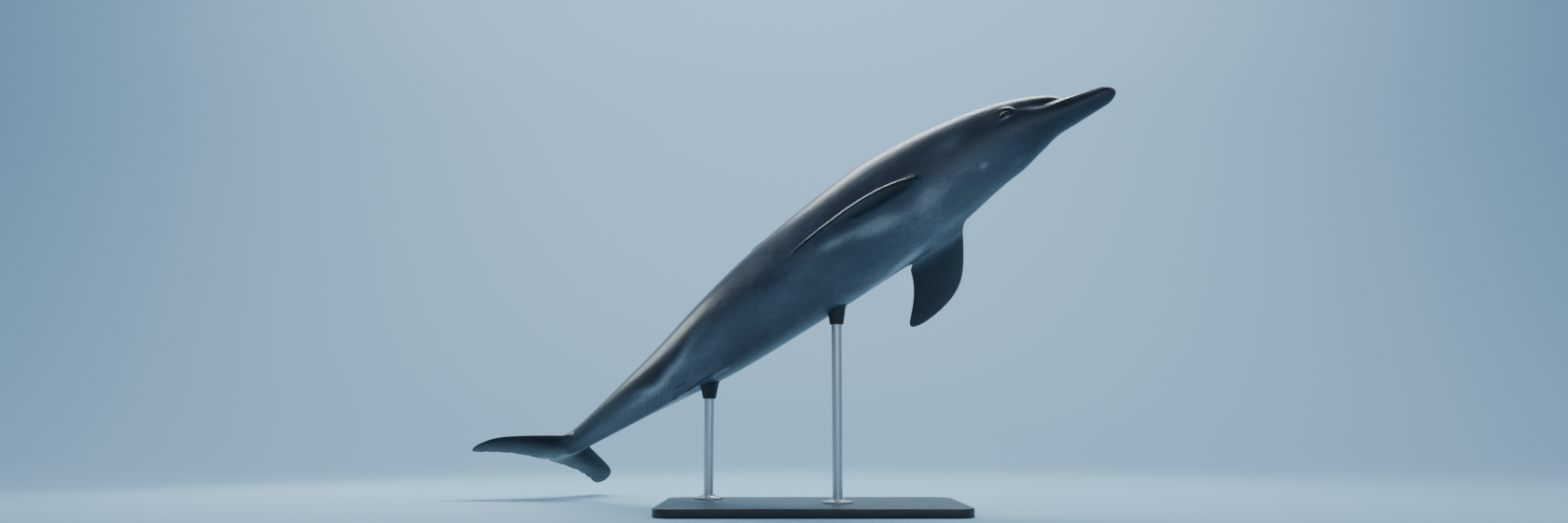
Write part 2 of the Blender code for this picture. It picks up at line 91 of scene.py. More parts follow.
def through(table, column, x):
    """A smooth curve through one column of a table, at each x."""
    places = np.array([row[0] for row in table])
    values = np.array([row[column] for row in table])
    steps = np.diff(places)
    rates = np.diff(values) / steps
    rates = np.where(rates == 0.0, 1e-9, rates)
    before, after = 2 * steps[1:] + steps[:-1], steps[1:] + 2 * steps[:-1]
    joined = (before + after) / (before / rates[:-1] + after / rates[1:])
    inner = np.where(rates[:-1] * rates[1:] > 0.0, joined, 0.0)
    slopes = np.concatenate(([rates[0]], inner, [rates[-1]]))
    x = np.clip(x, places[0], places[-1])
    i = np.clip(np.searchsorted(places, x, side="right") - 1, 0, len(steps) - 1)
    t = (x - places[i]) / steps[i]
    start = (1 + 2 * t) * (1 - t) ** 2 * values[i] + t * (1 - t) ** 2 * steps[i] * slopes[i]
    end = t * t * (3 - 2 * t) * values[i + 1] + t * t * (t - 1) * steps[i] * slopes[i + 1]
    return start + end


def round_form(table, x, nose, softness):
    """Middle height, half height, half width, distance past its ends, and softness of a form at x."""
    top, low, wide = through(table, 1, x), through(table, 2, x), through(table, 3, x)
    closing = np.ones_like(x)
    if nose:
        closing = np.sqrt(np.maximum(1 - (1 - np.clip((x - table[0][0]) / nose, 0, 1)) ** 2, 1e-6))
    past = np.maximum(table[0][0] - x, 0.0) + np.maximum(x - table[-1][0], 0.0)
    return (top + low) / 2, (top - low) / 2 * closing, wide * closing, past, softness


def forms_at(x):
    """Beak with throat, trunk, and tail keels, as they are at x."""
    crease = crease_softness + crease_softer_ahead * (1 - ease(x, *crease_sharpens))
    return [
        round_form(beak_and_throat, x, beak_nose, 0.0),
        round_form(trunk, x, melon_nose, crease),
        round_form(tail_keels, x, 0.0, keel_softness),
    ]


def outside(forms, y, z):
    """How far a point is outside the skin, negative inside."""
    total = None
    for middle, tall, wide, past, softness in forms:
        away = (np.hypot(y / wide, (z - middle) / tall) - 1) * np.minimum(tall, wide) + 2 * past
        if total is None:
            total = away
        else:
            h = np.clip(0.5 + 0.5 * (away - total) / softness, 0.0, 1.0)
            total = away * (1 - h) + total * h - softness * h * (1 - h)
    return total


def core_height(x):
    """Height of a line well inside the body: the middle of the beak, then the middle of the trunk."""
    jaw = (through(beak_and_throat, 1, x) + through(beak_and_throat, 2, x)) / 2
    body = (through(trunk, 1, x) + through(trunk, 2, x)) / 2
    t = ease(x, *core_rises)
    return jaw * (1 - t) + body * t


def on_skin(x, angle):
    """Points on the skin at x, at an angle from the belly towards the right side."""
    forms = forms_at(x)
    core = core_height(x)
    right, up = np.sin(angle), -np.cos(angle)
    near, far = np.zeros_like(x), np.full_like(x, widest_search)
    for _ in range(skin_halvings):
        r = (near + far) / 2
        inside = outside(forms, r * right, core + r * up) < 0
        near, far = np.where(inside, r, near), np.where(inside, far, r)
    return np.stack((x, near * right, core + near * up), axis=-1)


# ---- The pose
# The spine bends a little as the animal swims up and rolls: each table gives degrees of bend for one
# body length at places from the nose. The spine is held at one place of the trunk, above the stand.
nod = ((0.0, 0.0), (0.20, 0.0), (0.375, -100.0), (0.60, 25.0), (1.25, 0.0), (1.70, 72.0), (2.05, 24.0),
       (2.50, 20.0))
sideways = ((0.0, -26.0), (1.25, -26.0), (2.50, -20.0))
twist = ((0.0, -8.0), (2.50, 30.0))
held_x, trunk_place = 1.0, Vector((0.080, -0.020, 0.850))
turn, climb, bank = math.radians(-24.0), math.radians(31.3), math.radians(37.1)
spine_steps = 251


def spine_frames():
    """Place and tailward, rightward and backward directions along the spine."""
    nose = Vector((math.cos(climb) * math.cos(turn), math.cos(climb) * math.sin(turn), math.sin(climb)))
    level_right = nose.cross(Vector((0, 0, 1))).normalized()
    back = math.cos(bank) * level_right.cross(nose) - math.sin(bank) * level_right
    step = nose_to_notch / spine_steps
    first = round(held_x / step)
    frames = {first: (trunk_place, -nose, nose.cross(back), back)}
    for way, last in ((1, spine_steps), (-1, 0)):
        for k in range(first, last, way):
            place, tail, right, back = frames[k]
            x = (k + way / 2) * step
            spin = (right * -float(np.interp(x, *zip(*nod))) + back * float(np.interp(x, *zip(*sideways)))
                    - tail * float(np.interp(x, *zip(*twist)))) * (way / spine_steps)
            swing = Quaternion(spin.normalized(), math.radians(spin.length))
            new_tail = swing @ tail
            place = place + (tail + new_tail).normalized() * step * way
            frames[k + way] = (place, new_tail, swing @ right, swing @ back)
    return np.array([[tuple(v) for v in frames[k]] for k in range(spine_steps + 1)])


spine = spine_frames()


def posed(points):
    """Carry points of the straight animal to their places in the world."""
    step = nose_to_notch / spine_steps
    k = np.clip((points[:, 0] / step).astype(int), 0, spine_steps - 1)
    t = points[:, 0] / step - k
    inside = np.clip(t, 0.0, 1.0)
    frames = spine[k] * (1 - inside)[:, None, None] + spine[k + 1] * inside[:, None, None]
    place, tail, right, back = frames[:, 0], frames[:, 1], frames[:, 2], frames[:, 3]
    return (place + ((t - inside) * step)[:, None] * tail + points[:, 1:2] * right
            + points[:, 2:3] * back)


# ---- Places on the head and belly
# The mouth runs along the beak and turns up at its corner; the eye sits just behind and above that
# corner, the blowhole on the crown, a pin-prick ear behind the eye, and the slits and navel on the belly.
mouth_line = ((-0.010, -0.0530), (0.075, -0.0570), (0.150, -0.0590), (0.220, -0.0645), (0.285, -0.0560))
mouth_corner, mouth_tip, tip_levels, mouth_halvings = 0.285, 0.012, 0.020, 24
# places from the nose, angles from the belly, the eye's sizes and the blowhole's place across
eye_x, eye_angle = 0.322, math.radians(67.0)
eye_radius, eye_depth = 0.0135, 0.0085
lid_half_length, lid_half_height = 0.0128, 0.0066
blowhole = (0.362, -0.004)
ear = (0.378, math.radians(72.0))
navel_x = 1.165
genital_slit, anal_slit = (1.560, 1.690), (1.722, 1.752)
mammary_slit, mammary_apart = (1.655, 1.712), 0.024
# the sheet's rings: their steps on the head and trunk, and the rounding of the nose
head_step, trunk_step, step_growth, head_end, skin_end = 0.0029, 0.0130, 0.06, 0.430, 2.470
nose_rings = beak_nose * (1 - np.cos(np.linspace(0, math.pi / 2, 24)))
# the sheet's rows: how many on a side, the share of them below the mouth, and how they crowd there
half_rows, mouth_share, lip_crowding, rows_leave_mouth = 66, 0.42, 0.66, (0.29, 0.44)


def ring_places():
    """Places of the sheet's rings: close together on the head, wider apart along the trunk."""
    places = list(nose_rings)
    while places[-1] < skin_end:
        step = np.clip(head_step + (places[-1] - head_end) * step_growth, head_step, trunk_step)
        places.append(min(places[-1] + step, skin_end))
    return np.array(places)


def mouth_angle(x):
    """Angle from the belly of the mouth line, level across the tip and carried on behind the corner."""
    ahead = np.clip(x, mouth_tip, mouth_corner)
    height = through(mouth_line, 1, ahead)
    low, high = np.zeros_like(x), np.full_like(x, math.pi)
    for _ in range(mouth_halvings):
        middle = (low + high) / 2
        below = on_skin(ahead, middle)[:, 2] < height
        low, high = np.where(below, middle, low), np.where(below, high, middle)
    tip = ease(x, 0.0, tip_levels)
    return low * tip + math.pi / 2 * (1 - tip)


rings = ring_places()
ring_mouth = mouth_angle(rings)


def mouth_row(x):
    """Angle of the sheet's row that follows the mouth, easing to a fixed share behind it."""
    mouth = np.interp(x, rings, ring_mouth)
    loose = ease(x, *rows_leave_mouth)
    return mouth * (1 - loose) + math.pi * mouth_share * loose


def flat_to_animal(u, s):
    """Distance from the nose and angle from the belly for the flat sheet that becomes the skin.

    Rows of the sheet lie along the mouth line and crowd together there, so the lips are crisp.
    """
    x = np.interp(u * (len(rings) - 1), np.arange(len(rings)), rings)
    mouth = mouth_row(x)
    crowd = lip_crowding * (1 - ease(x, *rows_leave_mouth))
    side, part = np.sign(s), np.abs(s)
    over = np.clip((part - mouth_share) / (1 - mouth_share), 0, 1)
    under = np.clip((mouth_share - part) / mouth_share, 0, 1)
    above = mouth + (math.pi - mouth) * (over * (1 - crowd) + over ** 2 * crowd)
    below = mouth - mouth * (under * (1 - crowd) + under ** 2 * crowd)
    return x, side * np.where(part >= mouth_share, above, below)


# ---- The skin sheet
# The hide is one closed sheet. It starts flat, is cut finer where the eyes, blowhole, slits and fin
# roots need it, and is then wrapped round the body and pressed into lips, folds and lids.

# mouth: height and width of its groove and of each lip's roll, and how far the rolls lie from the groove
lip_groove, upper_lip, lower_lip = (0.0030, 0.0014), (0.0011, 0.0035), (0.0008, 0.0035)
upper_lip_gap, lower_lip_gap = 0.0055, -0.0050
# the folds past its corner, how long they are, how far back they lie, and the rise and place of each
corner_fold, corner_length, corner_back = (0.0012, 0.0018), 0.010, 0.004
corner_folds = ((0.4, 0.006), (-0.5, -0.006))
# the crease between melon and beak, and the stretches where it comes in and goes out
melon_crease, melon_crease_starts, melon_crease_ends = (0.0012, 0.0060), (0.118, 0.132), (0.205, 0.255)
# blowhole: its groove and rim, how it bends, where its middle lies and where its horns fade; and the ear
blowhole_groove, blowhole_rim, blowhole_bend = (0.0042, 0.0017), (0.0012, 0.021), 22.0
blowhole_back, blowhole_horns, ear_hole = 0.009, (0.012, 0.018), (0.0016, 0.0018)
# navel: depth of the dimple and height of its rim, each with its length and width
navel_depth, navel_size, navel_rim, navel_rim_size = 0.0024, (0.012, 0.004), 0.0010, (0.020, 0.010)
# slits: groove and lips, how far the lips lie from the groove, and the length of each fading end
belly_slit, slit_lip, slit_lip_gap, slit_end = (0.0042, 0.0019), (0.0016, 0.0042), 0.0065, 0.012
mammary_groove = (0.0022, 0.0018)
# lids: how far they reach, their blend into the cheek, thickness, the roll at their edge, the folds'
# places and depths, how the opening tips, and how deep the skin is tucked in behind the edge
lid_reach, lid_blend, lid_thick, lid_edge_roll = (0.026, 0.040), 0.0100, 0.0013, (0.0009, 0.0016)
lid_folds, lid_fold_width, lid_tip, lid_tuck = ((0.0050, 0.0009), (0.0092, 0.0005)), 0.0011, 0.10, 0.0012
# the tail stock closes to a blunt point inside the flukes
tail_closes, tail_narrows = (2.340, 2.465), 0.78
merge_gap = 0.00002


def refine(sheet, first, last, least, greatest, cuts):
    """Cut the flat sheet finer between two places and two angles, on both sides."""
    faces = list(sheet.faces)
    middles = np.array([face.calc_center_median()[:2] for face in faces])
    x, angle = flat_to_animal(middles[:, 0] + 0.5, middles[:, 1] * 2)
    around = np.abs(angle)
    chosen = (x > first) & (x < last) & (around > least) & (around < greatest)
    edges = {edge for face, want in zip(faces, chosen) if want for edge in face.edges}
    bmesh.ops.subdivide_edges(sheet, edges=list(edges), cuts=cuts, use_grid_fill=True)


def bell(distance, height, width):
    """A smooth roll of the given height that falls away over the given width."""
    return height * np.exp(-(distance / width) ** 2)


def along_slit(x, start, end, fade):
    """1 along a slit, fading to 0 at both of its ends."""
    return ease(x, start, start + fade) * (1 - ease(x, end - fade, end))


def skin_relief(x, angle, points):
    """How far the skin stands out of the plain body, negative where it sinks in."""
    around = np.abs(angle)
    radius = np.hypot(points[:, 1], points[:, 2] - core_height(x))
    relief = np.zeros_like(x)

    # lips: a groove with a soft roll either side, fading out past the corner of the mouth
    here = mouth_row(x)
    off = (around - here) * radius
    fade = 1 - ease(x, mouth_corner - 0.020, mouth_corner + 0.010)
    relief -= bell(off, *lip_groove) * fade
    relief += bell(off - upper_lip_gap, *upper_lip) * fade
    relief += bell(off - lower_lip_gap, *lower_lip) * fade
    # two soft folds, one rising and one falling, where the corner of the mouth runs out into the cheek
    behind = bell(x - mouth_corner - corner_back, 1.0, corner_length)
    for rise, gap in corner_folds:
        relief -= bell(off - rise * (x - mouth_corner) - gap, *corner_fold) * behind

    # the crease between melon and beak
    melon = round_form(trunk, x, melon_nose, 0.0)
    jaw = round_form(beak_and_throat, x, beak_nose, 0.0)
    split = outside([melon], points[:, 1], points[:, 2]) - outside([jaw], points[:, 1], points[:, 2])
    above_mouth = ease(off, 0.004, 0.014)
    along = ease(x, *melon_crease_starts) * (1 - ease(x, *melon_crease_ends))
    relief -= bell(split, *melon_crease) * above_mouth * along

    # blowhole: a crescent with its horns forward, in a low raised rim
    bx, by = x - blowhole[0], points[:, 1] - blowhole[1]
    on_top = ease(around, 2.4, 2.6)
    crescent = bx - blowhole_back + blowhole_bend * by ** 2
    within = 1 - ease(np.abs(by), *blowhole_horns)
    relief -= bell(crescent, *blowhole_groove) * within * on_top
    relief += bell(np.hypot(bx, by), *blowhole_rim) * on_top

    # ear: a pin prick
    relief -= bell(np.hypot(x - ear[0], (around - ear[1]) * radius), *ear_hole)

    # belly: navel, genital slit, anal slit and the small mammary slits beside them
    y = angle * radius
    for height, (long, wide) in ((-navel_depth, navel_size), (navel_rim, navel_rim_size)):
        relief += bell(x - navel_x, height, long) * bell(y, 1.0, wide)
    for start, end in (genital_slit, anal_slit):
        along = along_slit(x, start, end, slit_end)
        relief -= bell(y, *belly_slit) * along
        relief += bell(np.abs(y) - slit_lip_gap, *slit_lip) * along
    relief -= bell(np.abs(y) - mammary_apart, *mammary_groove) * along_slit(x, *mammary_slit, slit_end)
    return relief


def skin_point(x, angle):
    """One point on the skin."""
    return on_skin(np.array([x]), np.array([angle]))[0]


def core_point(x):
    """One point on the line inside the body."""
    return np.array((x, 0.0, core_height(np.array([x]))[0]))


def unit(arrow):
    return arrow / np.linalg.norm(arrow)


def eye_frame(side):
    """The eyeball's middle, the way it looks, and the ways along and up its opening."""
    surface = skin_point(eye_x, side * eye_angle)
    middle = surface + unit(core_point(eye_x) - surface) * eye_depth
    out = unit(surface - middle)
    tailward = unit(np.array((1.0, 0.0, 0.0)) - out[0] * out)
    return middle, out, tailward, np.cross(out, tailward) * side


def set_lids(points, side):
    """Draw the skin over the eyeball as two lids with an almond opening, and tuck it in inside."""
    middle, out, tailward, up = eye_frame(side)
    arm = points - middle
    a, b, h = arm @ tailward, arm @ up, arm @ out
    reach = np.hypot(a, b)
    near = (reach < lid_reach[1]) & (h > -0.012)
    # the opening is longer than high, a little tipped and lower at its front corner
    b_tip = b - lid_tip * a
    slit = np.hypot(a / lid_half_length, b_tip / (lid_half_height * np.where(b_tip > 0, 1.0, 0.85)))
    slit = (slit - 1) * lid_half_height
    lid_radius = eye_radius + lid_thick + bell(slit - lid_edge_roll[1], *lid_edge_roll)
    dome = np.sqrt(np.maximum(lid_radius ** 2 - reach ** 2, 0.0))
    mix = np.clip(0.5 + 0.5 * (dome - h) / lid_blend, 0, 1)
    covered = dome * mix + h * (1 - mix) + lid_blend * mix * (1 - mix)
    folds = np.zeros_like(a)
    beside = 0.25 + 0.75 * (b / np.maximum(reach, 0.001)) ** 2
    for fold, depth in lid_folds:
        folds -= bell(slit - fold, depth, lid_fold_width) * beside
    tucked = np.sqrt(np.maximum((eye_radius - lid_tuck) ** 2 - reach ** 2, 0.0))
    edge = ease(slit, -lid_edge_roll[1], 0.0)
    new_height = np.where(slit > 0, covered + folds, tucked * (1 - edge) + covered * edge)
    weight = np.where(near, 1 - ease(reach, *lid_reach), 0.0)
    return points + out * ((new_height - h) * weight)[:, None]


def place_verts(sheet, points):
    for vert, point in zip(sheet.verts, points):
        vert.co = point


def face_outwards(sheet):
    sheet.normal_update()
    bmesh.ops.recalc_face_normals(sheet, faces=sheet.faces)


def close_sheet(sheet):
    """Join the edges that meet, fill the open ends and turn the faces outwards."""
    bmesh.ops.remove_doubles(sheet, verts=sheet.verts, dist=merge_gap)
    bmesh.ops.holes_fill(sheet, edges=[edge for edge in sheet.edges if edge.is_boundary], sides=0)
    face_outwards(sheet)


body_sheet = bmesh.new()
bmesh.ops.create_grid(body_sheet, x_segments=len(rings) - 1, y_segments=2 * half_rows, size=0.5)
# finer patches: first and last place from the nose, least and greatest angle from the belly, cuts
for first, last, least, greatest, cuts in (
        (eye_x - 0.028, eye_x + 0.028, eye_angle - 0.27, eye_angle + 0.27, 3),
        (blowhole[0] - 0.026, blowhole[0] + 0.026, 2.86, math.pi, 3),
        (navel_x - 0.030, navel_x + 0.030, 0.0, 0.10, 3),
        (genital_slit[0] - 0.015, anal_slit[1] + 0.013, 0.0, 0.26, 3),
        (0.560, 0.930, 0.40, 1.50, 1), (0.860, 1.420, 2.70, math.pi, 1), (2.230, skin_end, 0.77, 2.37, 1)):
    refine(body_sheet, first, last, least, greatest, cuts)
flat = np.array([vert.co[:2] for vert in body_sheet.verts])
skin_x, skin_angle = flat_to_animal(flat[:, 0] + 0.5, flat[:, 1] * 2)
skin_points = on_skin(skin_x, skin_angle)
skin_points[:, 1:] *= (1 - ease(skin_x, *tail_closes) * tail_narrows)[:, None]
place_verts(body_sheet, skin_points)
close_sheet(body_sheet)
body_sheet.normal_update()

plain = np.array([tuple(vert.co) for vert in body_sheet.verts])
normals = np.array([tuple(vert.normal) for vert in body_sheet.verts])
angles = np.arctan2(plain[:, 1], -(plain[:, 2] - core_height(plain[:, 0])))
raised = plain + normals * skin_relief(plain[:, 0], angles, plain)[:, None]
for side in (1, -1):
    raised = set_lids(raised, side)
place_verts(body_sheet, raised)


# ---- Fins
# Flippers, dorsal fin and flukes are stiff blades under the same skin: blunt in front, thin behind.
# Each grows out of the body with a wide fillet. Sizes are in metres, held angles in degrees.

# flippers: where the root starts, span, chord and thickness at the root, and how the tip thins
flipper_root, flipper_span, flipper_chord, flipper_thick, flipper_thins = 0.620, 0.342, 0.208, 0.038, 0.72
# the front edge's sweep and hook, the rear edge's trail, and how it draws in at the root
flipper_sweep, flipper_hook, flipper_trail, flipper_waist, waist_reach = 0.130, 0.120, 0.160, 0.060, 0.20
# thickening at the root, how far out that reaches, and how deep the blade runs into the body
flipper_flare, flipper_flare_reach, flipper_buried = 0.55, 0.16, 0.070
# for each flipper: degrees round from the belly, held below level, swept back and twisted; and its bow
flipper_held = {"right": (44.5, 38.0, 17.3, 2.9, 0.0585), "left": (54.0, -10.5, 6.0, -1.0, 0.0)}
# dorsal fin: the same, with a hollow rear edge, a wide foot along the back and a slight lean
dorsal_front, dorsal_height, dorsal_thick, dorsal_lean = 0.970, 0.192, 0.046, math.radians(8.0)
dorsal_sweep, dorsal_base, dorsal_hook, dorsal_hollow, dorsal_thins = 0.310, 0.305, 0.080, 0.045, 0.78
dorsal_flare, dorsal_flare_reach, dorsal_flare_front, dorsal_flare_rear = 0.5, 0.25, 0.060, 0.030
dorsal_buried, dorsal_sunk, dorsal_base_slope = 0.060, 0.006, 0.045
# flukes: the same, with the notch between them
fluke_root, fluke_half_span, fluke_thick, fluke_thins = 2.290, 0.283, 0.041, 0.80
fluke_sweep, fluke_hook, fluke_trail, fluke_notch, notch_width = 0.182, 0.030, 0.104, 0.012, 0.04
# nicks in the rear edges: share of the way to the tip, depth, and width as a share
dorsal_nicks = ((0.34, 0.004, 0.030), (0.47, 0.007, 0.034), (0.70, 0.004, 0.022))
fluke_nicks = ((0.27, 0.0035, 0.040), (0.50, 0.0045, 0.045), (0.66, 0.0035, 0.028), (0.80, 0.0045, 0.026))
# the least half chord and half thickness, the share of rows inside the body, and a full front edge
tip_half_chord, tip_half_thick, buried_share, full_front = 0.002, 0.0012, 0.08, 2.6


def flare(t, reach):
    """1 at a fin's root, falling to 0 at the reach."""
    return np.maximum(0.0, 1 - t / reach) ** 2


def blunt(t, squareness):
    """1 along a fin, closing to 0 at its tip; a greater squareness closes later."""
    return np.sqrt(np.maximum(1 - t ** squareness, 0.0))


def rounded_tip(front, rear, t, squareness):
    """Bring the front and rear edges together in a round tip."""
    middle = (front + rear) / 2
    half = (rear - front) / 2 * blunt(t, squareness) + tip_half_chord * blunt(t, 60)
    return middle - half, middle + half


def nicks(t, places):
    """Small bites out of a thin rear edge."""
    return sum(bell(t - place, depth, width) for place, depth, width in places)


def flipper_edges(t):
    front = flipper_sweep * t ** 1.15 + flipper_hook * t ** 6.5
    rear = flipper_chord + flipper_trail * t ** 2 - flipper_waist * np.maximum(0.0, 1 - t / waist_reach)
    return rounded_tip(front, rear, t, 20)


def dorsal_edges(t):
    wider = flare(t, dorsal_flare_reach)
    front = dorsal_sweep * (0.40 * t + 0.60 * t ** 2.2) - dorsal_flare_front * wider
    rear = dorsal_base + dorsal_hook * t ** 3.2 + dorsal_hollow * (1 - t) ** 3 + dorsal_flare_rear * wider
    return rounded_tip(front, rear - nicks(t, dorsal_nicks), t, 26)


def fluke_edges(t):
    front = fluke_sweep * t + fluke_hook * t ** 8
    notch = fluke_notch * (1 - np.exp(-t / notch_width))
    rear = nose_to_notch + notch - fluke_root + fluke_trail * t ** 2.7
    return rounded_tip(front, rear - nicks(t, fluke_nicks), t, 18)


def blade(root, out, back, span, edges, thickness, bury=0.0, bow=0.0, rows=56, both=False):
    """A fin as a closed sheet: teardrop sections from inside the body out to a rounded tip.

    With both, it runs from one tip through the body to the other.
    """
    sheet = bmesh.new()
    bmesh.ops.create_grid(sheet, x_segments=rows, y_segments=52, size=0.5)
    flat = np.array([vert.co[:2] for vert in sheet.verts])
    u, around = flat[:, 0] + 0.5, (flat[:, 1] + 0.5) * 2 * math.pi
    if both:
        s = np.sin(math.pi * (u - 0.5))
        t, place = np.abs(s), s * span
    else:
        t = np.sin(math.pi / 2 * np.maximum(u - buried_share, 0) / (1 - buried_share))
        place = np.where(u < buried_share, -bury * (1 - u / buried_share), t * span)
    front, rear = edges(t)
    tall = thickness(t) / 2 * blunt(t, 40)
    share = (1 - np.cos(around)) / 2
    half = np.sign(np.sin(around)) * full_front * np.sqrt(share) * (1 - share) * tall
    half = half + tip_half_thick * np.sin(around) * blunt(t, 60) + bow * t * t
    face = np.cross(back, out)
    points = (root + out * place[:, None] + back * (front + (rear - front) * share)[:, None]
              + face * half[:, None])
    place_verts(sheet, points)
    close_sheet(sheet)
    return sheet


def flipper(name, side):
    start, below, swept, twisted = (math.radians(a) for a in flipper_held[name][:4])
    root = skin_point(flipper_root, side * start)
    tail = np.array((1.0, 0.0, 0.0))
    out = np.array((0.0, side * math.cos(below), -math.sin(below)))
    back = math.cos(twisted) * tail + math.sin(twisted) * np.cross(tail, out)
    far = math.cos(swept) * out + math.sin(swept) * back
    behind = math.cos(swept) * back - math.sin(swept) * out
    return blade(root, far, behind, flipper_span, flipper_edges,
                 lambda t: flipper_thick * (1 - flipper_thins * t
                                            + flipper_flare * flare(t, flipper_flare_reach)),
                 bury=flipper_buried, bow=-side * flipper_held[name][4])


def dorsal_fin():
    root = skin_point(dorsal_front, math.pi) - np.array((0, 0, dorsal_sunk))
    up = np.array((0.0, -math.sin(dorsal_lean), math.cos(dorsal_lean)))
    back = unit(np.array((1.0, 0.0, -dorsal_base_slope)))
    return blade(root, up, back, dorsal_height, dorsal_edges,
                 lambda t: dorsal_thick * (1 - dorsal_thins * t
                                           + dorsal_flare * flare(t, dorsal_flare_reach)),
                 bury=dorsal_buried)


def flukes():
    return blade(np.array((fluke_root, 0.0, 0.0)), np.array((0.0, 1.0, 0.0)), np.array((1.0, 0.0, 0.0)),
                 fluke_half_span, fluke_edges, lambda t: fluke_thick * (1 - fluke_thins * t), rows=120,
                 both=True)


def as_object(name, sheet):
    mesh = bpy.data.meshes.new(name)
    sheet.to_mesh(mesh)
    sheet.free()
    obj = bpy.data.objects.new(name, mesh)
    bpy.context.scene.collection.objects.link(obj)
    return obj


# seams: merging of near points, greatest move in one round, and how sharp a fold is evened out
seam_merge, settle_limit, sharp_fold = 0.0014, 0.003, 0.7


def solid_tree(obj):
    """A search tree of an object's faces."""
    sheet = bmesh.new()
    sheet.from_mesh(obj.data)
    tree = BVHTree.FromBMesh(sheet)
    sheet.free()
    return tree


def away_from(tree, point, reach):
    """Distance out of a closed sheet (negative inside) and the way out."""
    place, normal, _, distance = tree.find_nearest(point, reach)
    if place is None or distance < 1e-7:
        return (reach, None) if place is None else (0.0, normal)
    arm = point - place
    sign = -1.0 if arm.dot(normal) < -0.7 * distance else 1.0
    return sign * distance, arm * (sign / distance)


def weld(body, fin, softness):
    """Join a fin to the body and run the skin from one to the other in a smooth fillet."""
    body_tree, fin_tree = solid_tree(body), solid_tree(fin)
    join = body.modifiers.new("join", "BOOLEAN")
    join.operation = "UNION"
    join.solver = "EXACT"
    join.object = fin
    joined = bpy.data.meshes.new_from_object(body.evaluated_get(bpy.context.evaluated_depsgraph_get()))
    body.modifiers.clear()
    bpy.data.objects.remove(fin)
    sheet = bmesh.new()
    sheet.from_mesh(joined)

    def close_to_both(reach):
        found = []
        for vert in sheet.verts:
            from_fin, _ = away_from(fin_tree, vert.co, reach)
            if abs(from_fin) < reach:
                from_body, _ = away_from(body_tree, vert.co, reach)
                if abs(from_body) < reach:
                    found.append(vert)
        return found

    def settle(verts):
        """Bring vertices along their normals onto the surface where both distances blend."""
        sheet.normal_update()
        for vert in verts:
            a, way_a = away_from(body_tree, vert.co, 2 * softness)
            b, way_b = away_from(fin_tree, vert.co, 2 * softness)
            if way_a is None or way_b is None:
                continue
            h = min(max(0.5 + 0.5 * (b - a) / softness, 0.0), 1.0)
            gap = b * (1 - h) + a * h - softness * h * (1 - h)
            slope = (way_b * (1 - h) + way_a * h).dot(vert.normal)
            if slope > 0.3:
                vert.co -= vert.normal * min(max(gap / slope, -settle_limit), settle_limit)

    def even_out(verts, times):
        for _ in range(times):
            bmesh.ops.smooth_vert(sheet, verts=verts, factor=0.5, use_axis_x=True, use_axis_y=True,
                                  use_axis_z=True)

    # clean the seam: merge its crowded points, split its long faces and close what that pinched
    bmesh.ops.remove_doubles(sheet, verts=close_to_both(softness * 0.15), dist=seam_merge)
    bmesh.ops.triangulate(sheet, faces=[face for face in sheet.faces if len(face.verts) > 4])
    pinched = [edge for edge in sheet.edges if len(edge.link_faces) > 2]
    bmesh.ops.collapse(sheet, edges=pinched)
    even_out(close_to_both(softness * 0.2), 6)
    wide, tight = close_to_both(softness * 0.9), close_to_both(softness * 0.5)
    for times in (4, 4, 3, 3, 2, 0):
        settle(wide)
        even_out(tight, times)
    for _ in range(8):
        sharp = {vert for spot in tight for edge in spot.link_edges
                 if edge.is_manifold and edge.calc_face_angle() > sharp_fold for vert in edge.verts}
        even_out(list(sharp), 3)
    sheet.to_mesh(body.data)
    sheet.free()


skin = as_object("dolphin_skin", body_sheet)
for name, fin_sheet, softness in (("flipper_right", flipper("right", 1), 0.026),
                                  ("flipper_left", flipper("left", -1), 0.026),
                                  ("dorsal", dorsal_fin(), 0.034), ("fluke", flukes(), 0.030)):
    weld(skin, as_object(name + "_blade", fin_sheet), softness)

straight = np.array([tuple(vert.co) for vert in skin.data.vertices])
around = np.arctan2(straight[:, 1], -(straight[:, 2] - core_height(straight[:, 0])))
body_forms = forms_at(np.clip(straight[:, 0], 0.0, skin_end))
fin_share = ease(outside(body_forms, straight[:, 1], straight[:, 2]), 0.004, 0.050)


# ---- Skin colours
# Real skin is slate grey: a dark cape along the back, a middle grey flank, a paler belly, and nearly black
# fins and a nearly black beak, the beak's darkness deepened with painted shade. Soft pale patches behind the
# flippers are pale skin with painted dappled light, and the pale patch between mouth and melon is a painted
# highlight.
# The cape's and belly's edges are places from the nose with degrees round from the belly.
cape_edge = ((0.00, 108), (0.15, 100), (0.30, 96), (0.50, 92), (0.80, 98), (1.10, 96), (1.30, 90),
             (1.41, 82), (1.49, 70), (1.56, 62), (1.65, 55), (1.74, 48), (1.82, 52), (2.00, 70),
             (2.30, 90), (2.51, 95))
belly_edge = ((0.00, 62), (0.15, 58), (0.30, 46), (0.50, 34), (0.70, 30), (0.90, 40), (1.20, 46),
              (1.50, 50), (1.75, 42), (1.95, 40), (2.20, 30), (2.51, 20))
dark, middling, pale = 0.10, 0.40, 0.66
# soft pale patches behind and below the flippers, along the loin and on the rear flank, pale skin together
# with
# painted pools of dappled light: strength, place, degrees, length, width in degrees, and lean in degrees for
# each metre
blazes_and_dappled_light = ((0.52, 0.82, 30, 0.066, 8, 60), (0.46, 0.95, 40, 0.070, 6, 40), (0.26, 0.52, 60, 0.060, 9, -60),
          (0.24, 0.655, 27, 0.060, 15, 0), (0.14, 1.24, 72, 0.100, 9, -20), (0.24, 1.84, 30, 0.090, 12, 0))


def patch(x, degrees, at_x, at_degrees, long, wide, lean=0.0):
    """An oval with soft edges, 1 in its middle, that may lean across the body."""
    along = x - at_x
    across = (degrees - at_degrees) - lean * along
    return np.exp(-(along / long) ** 2 - (across / wide) ** 2)


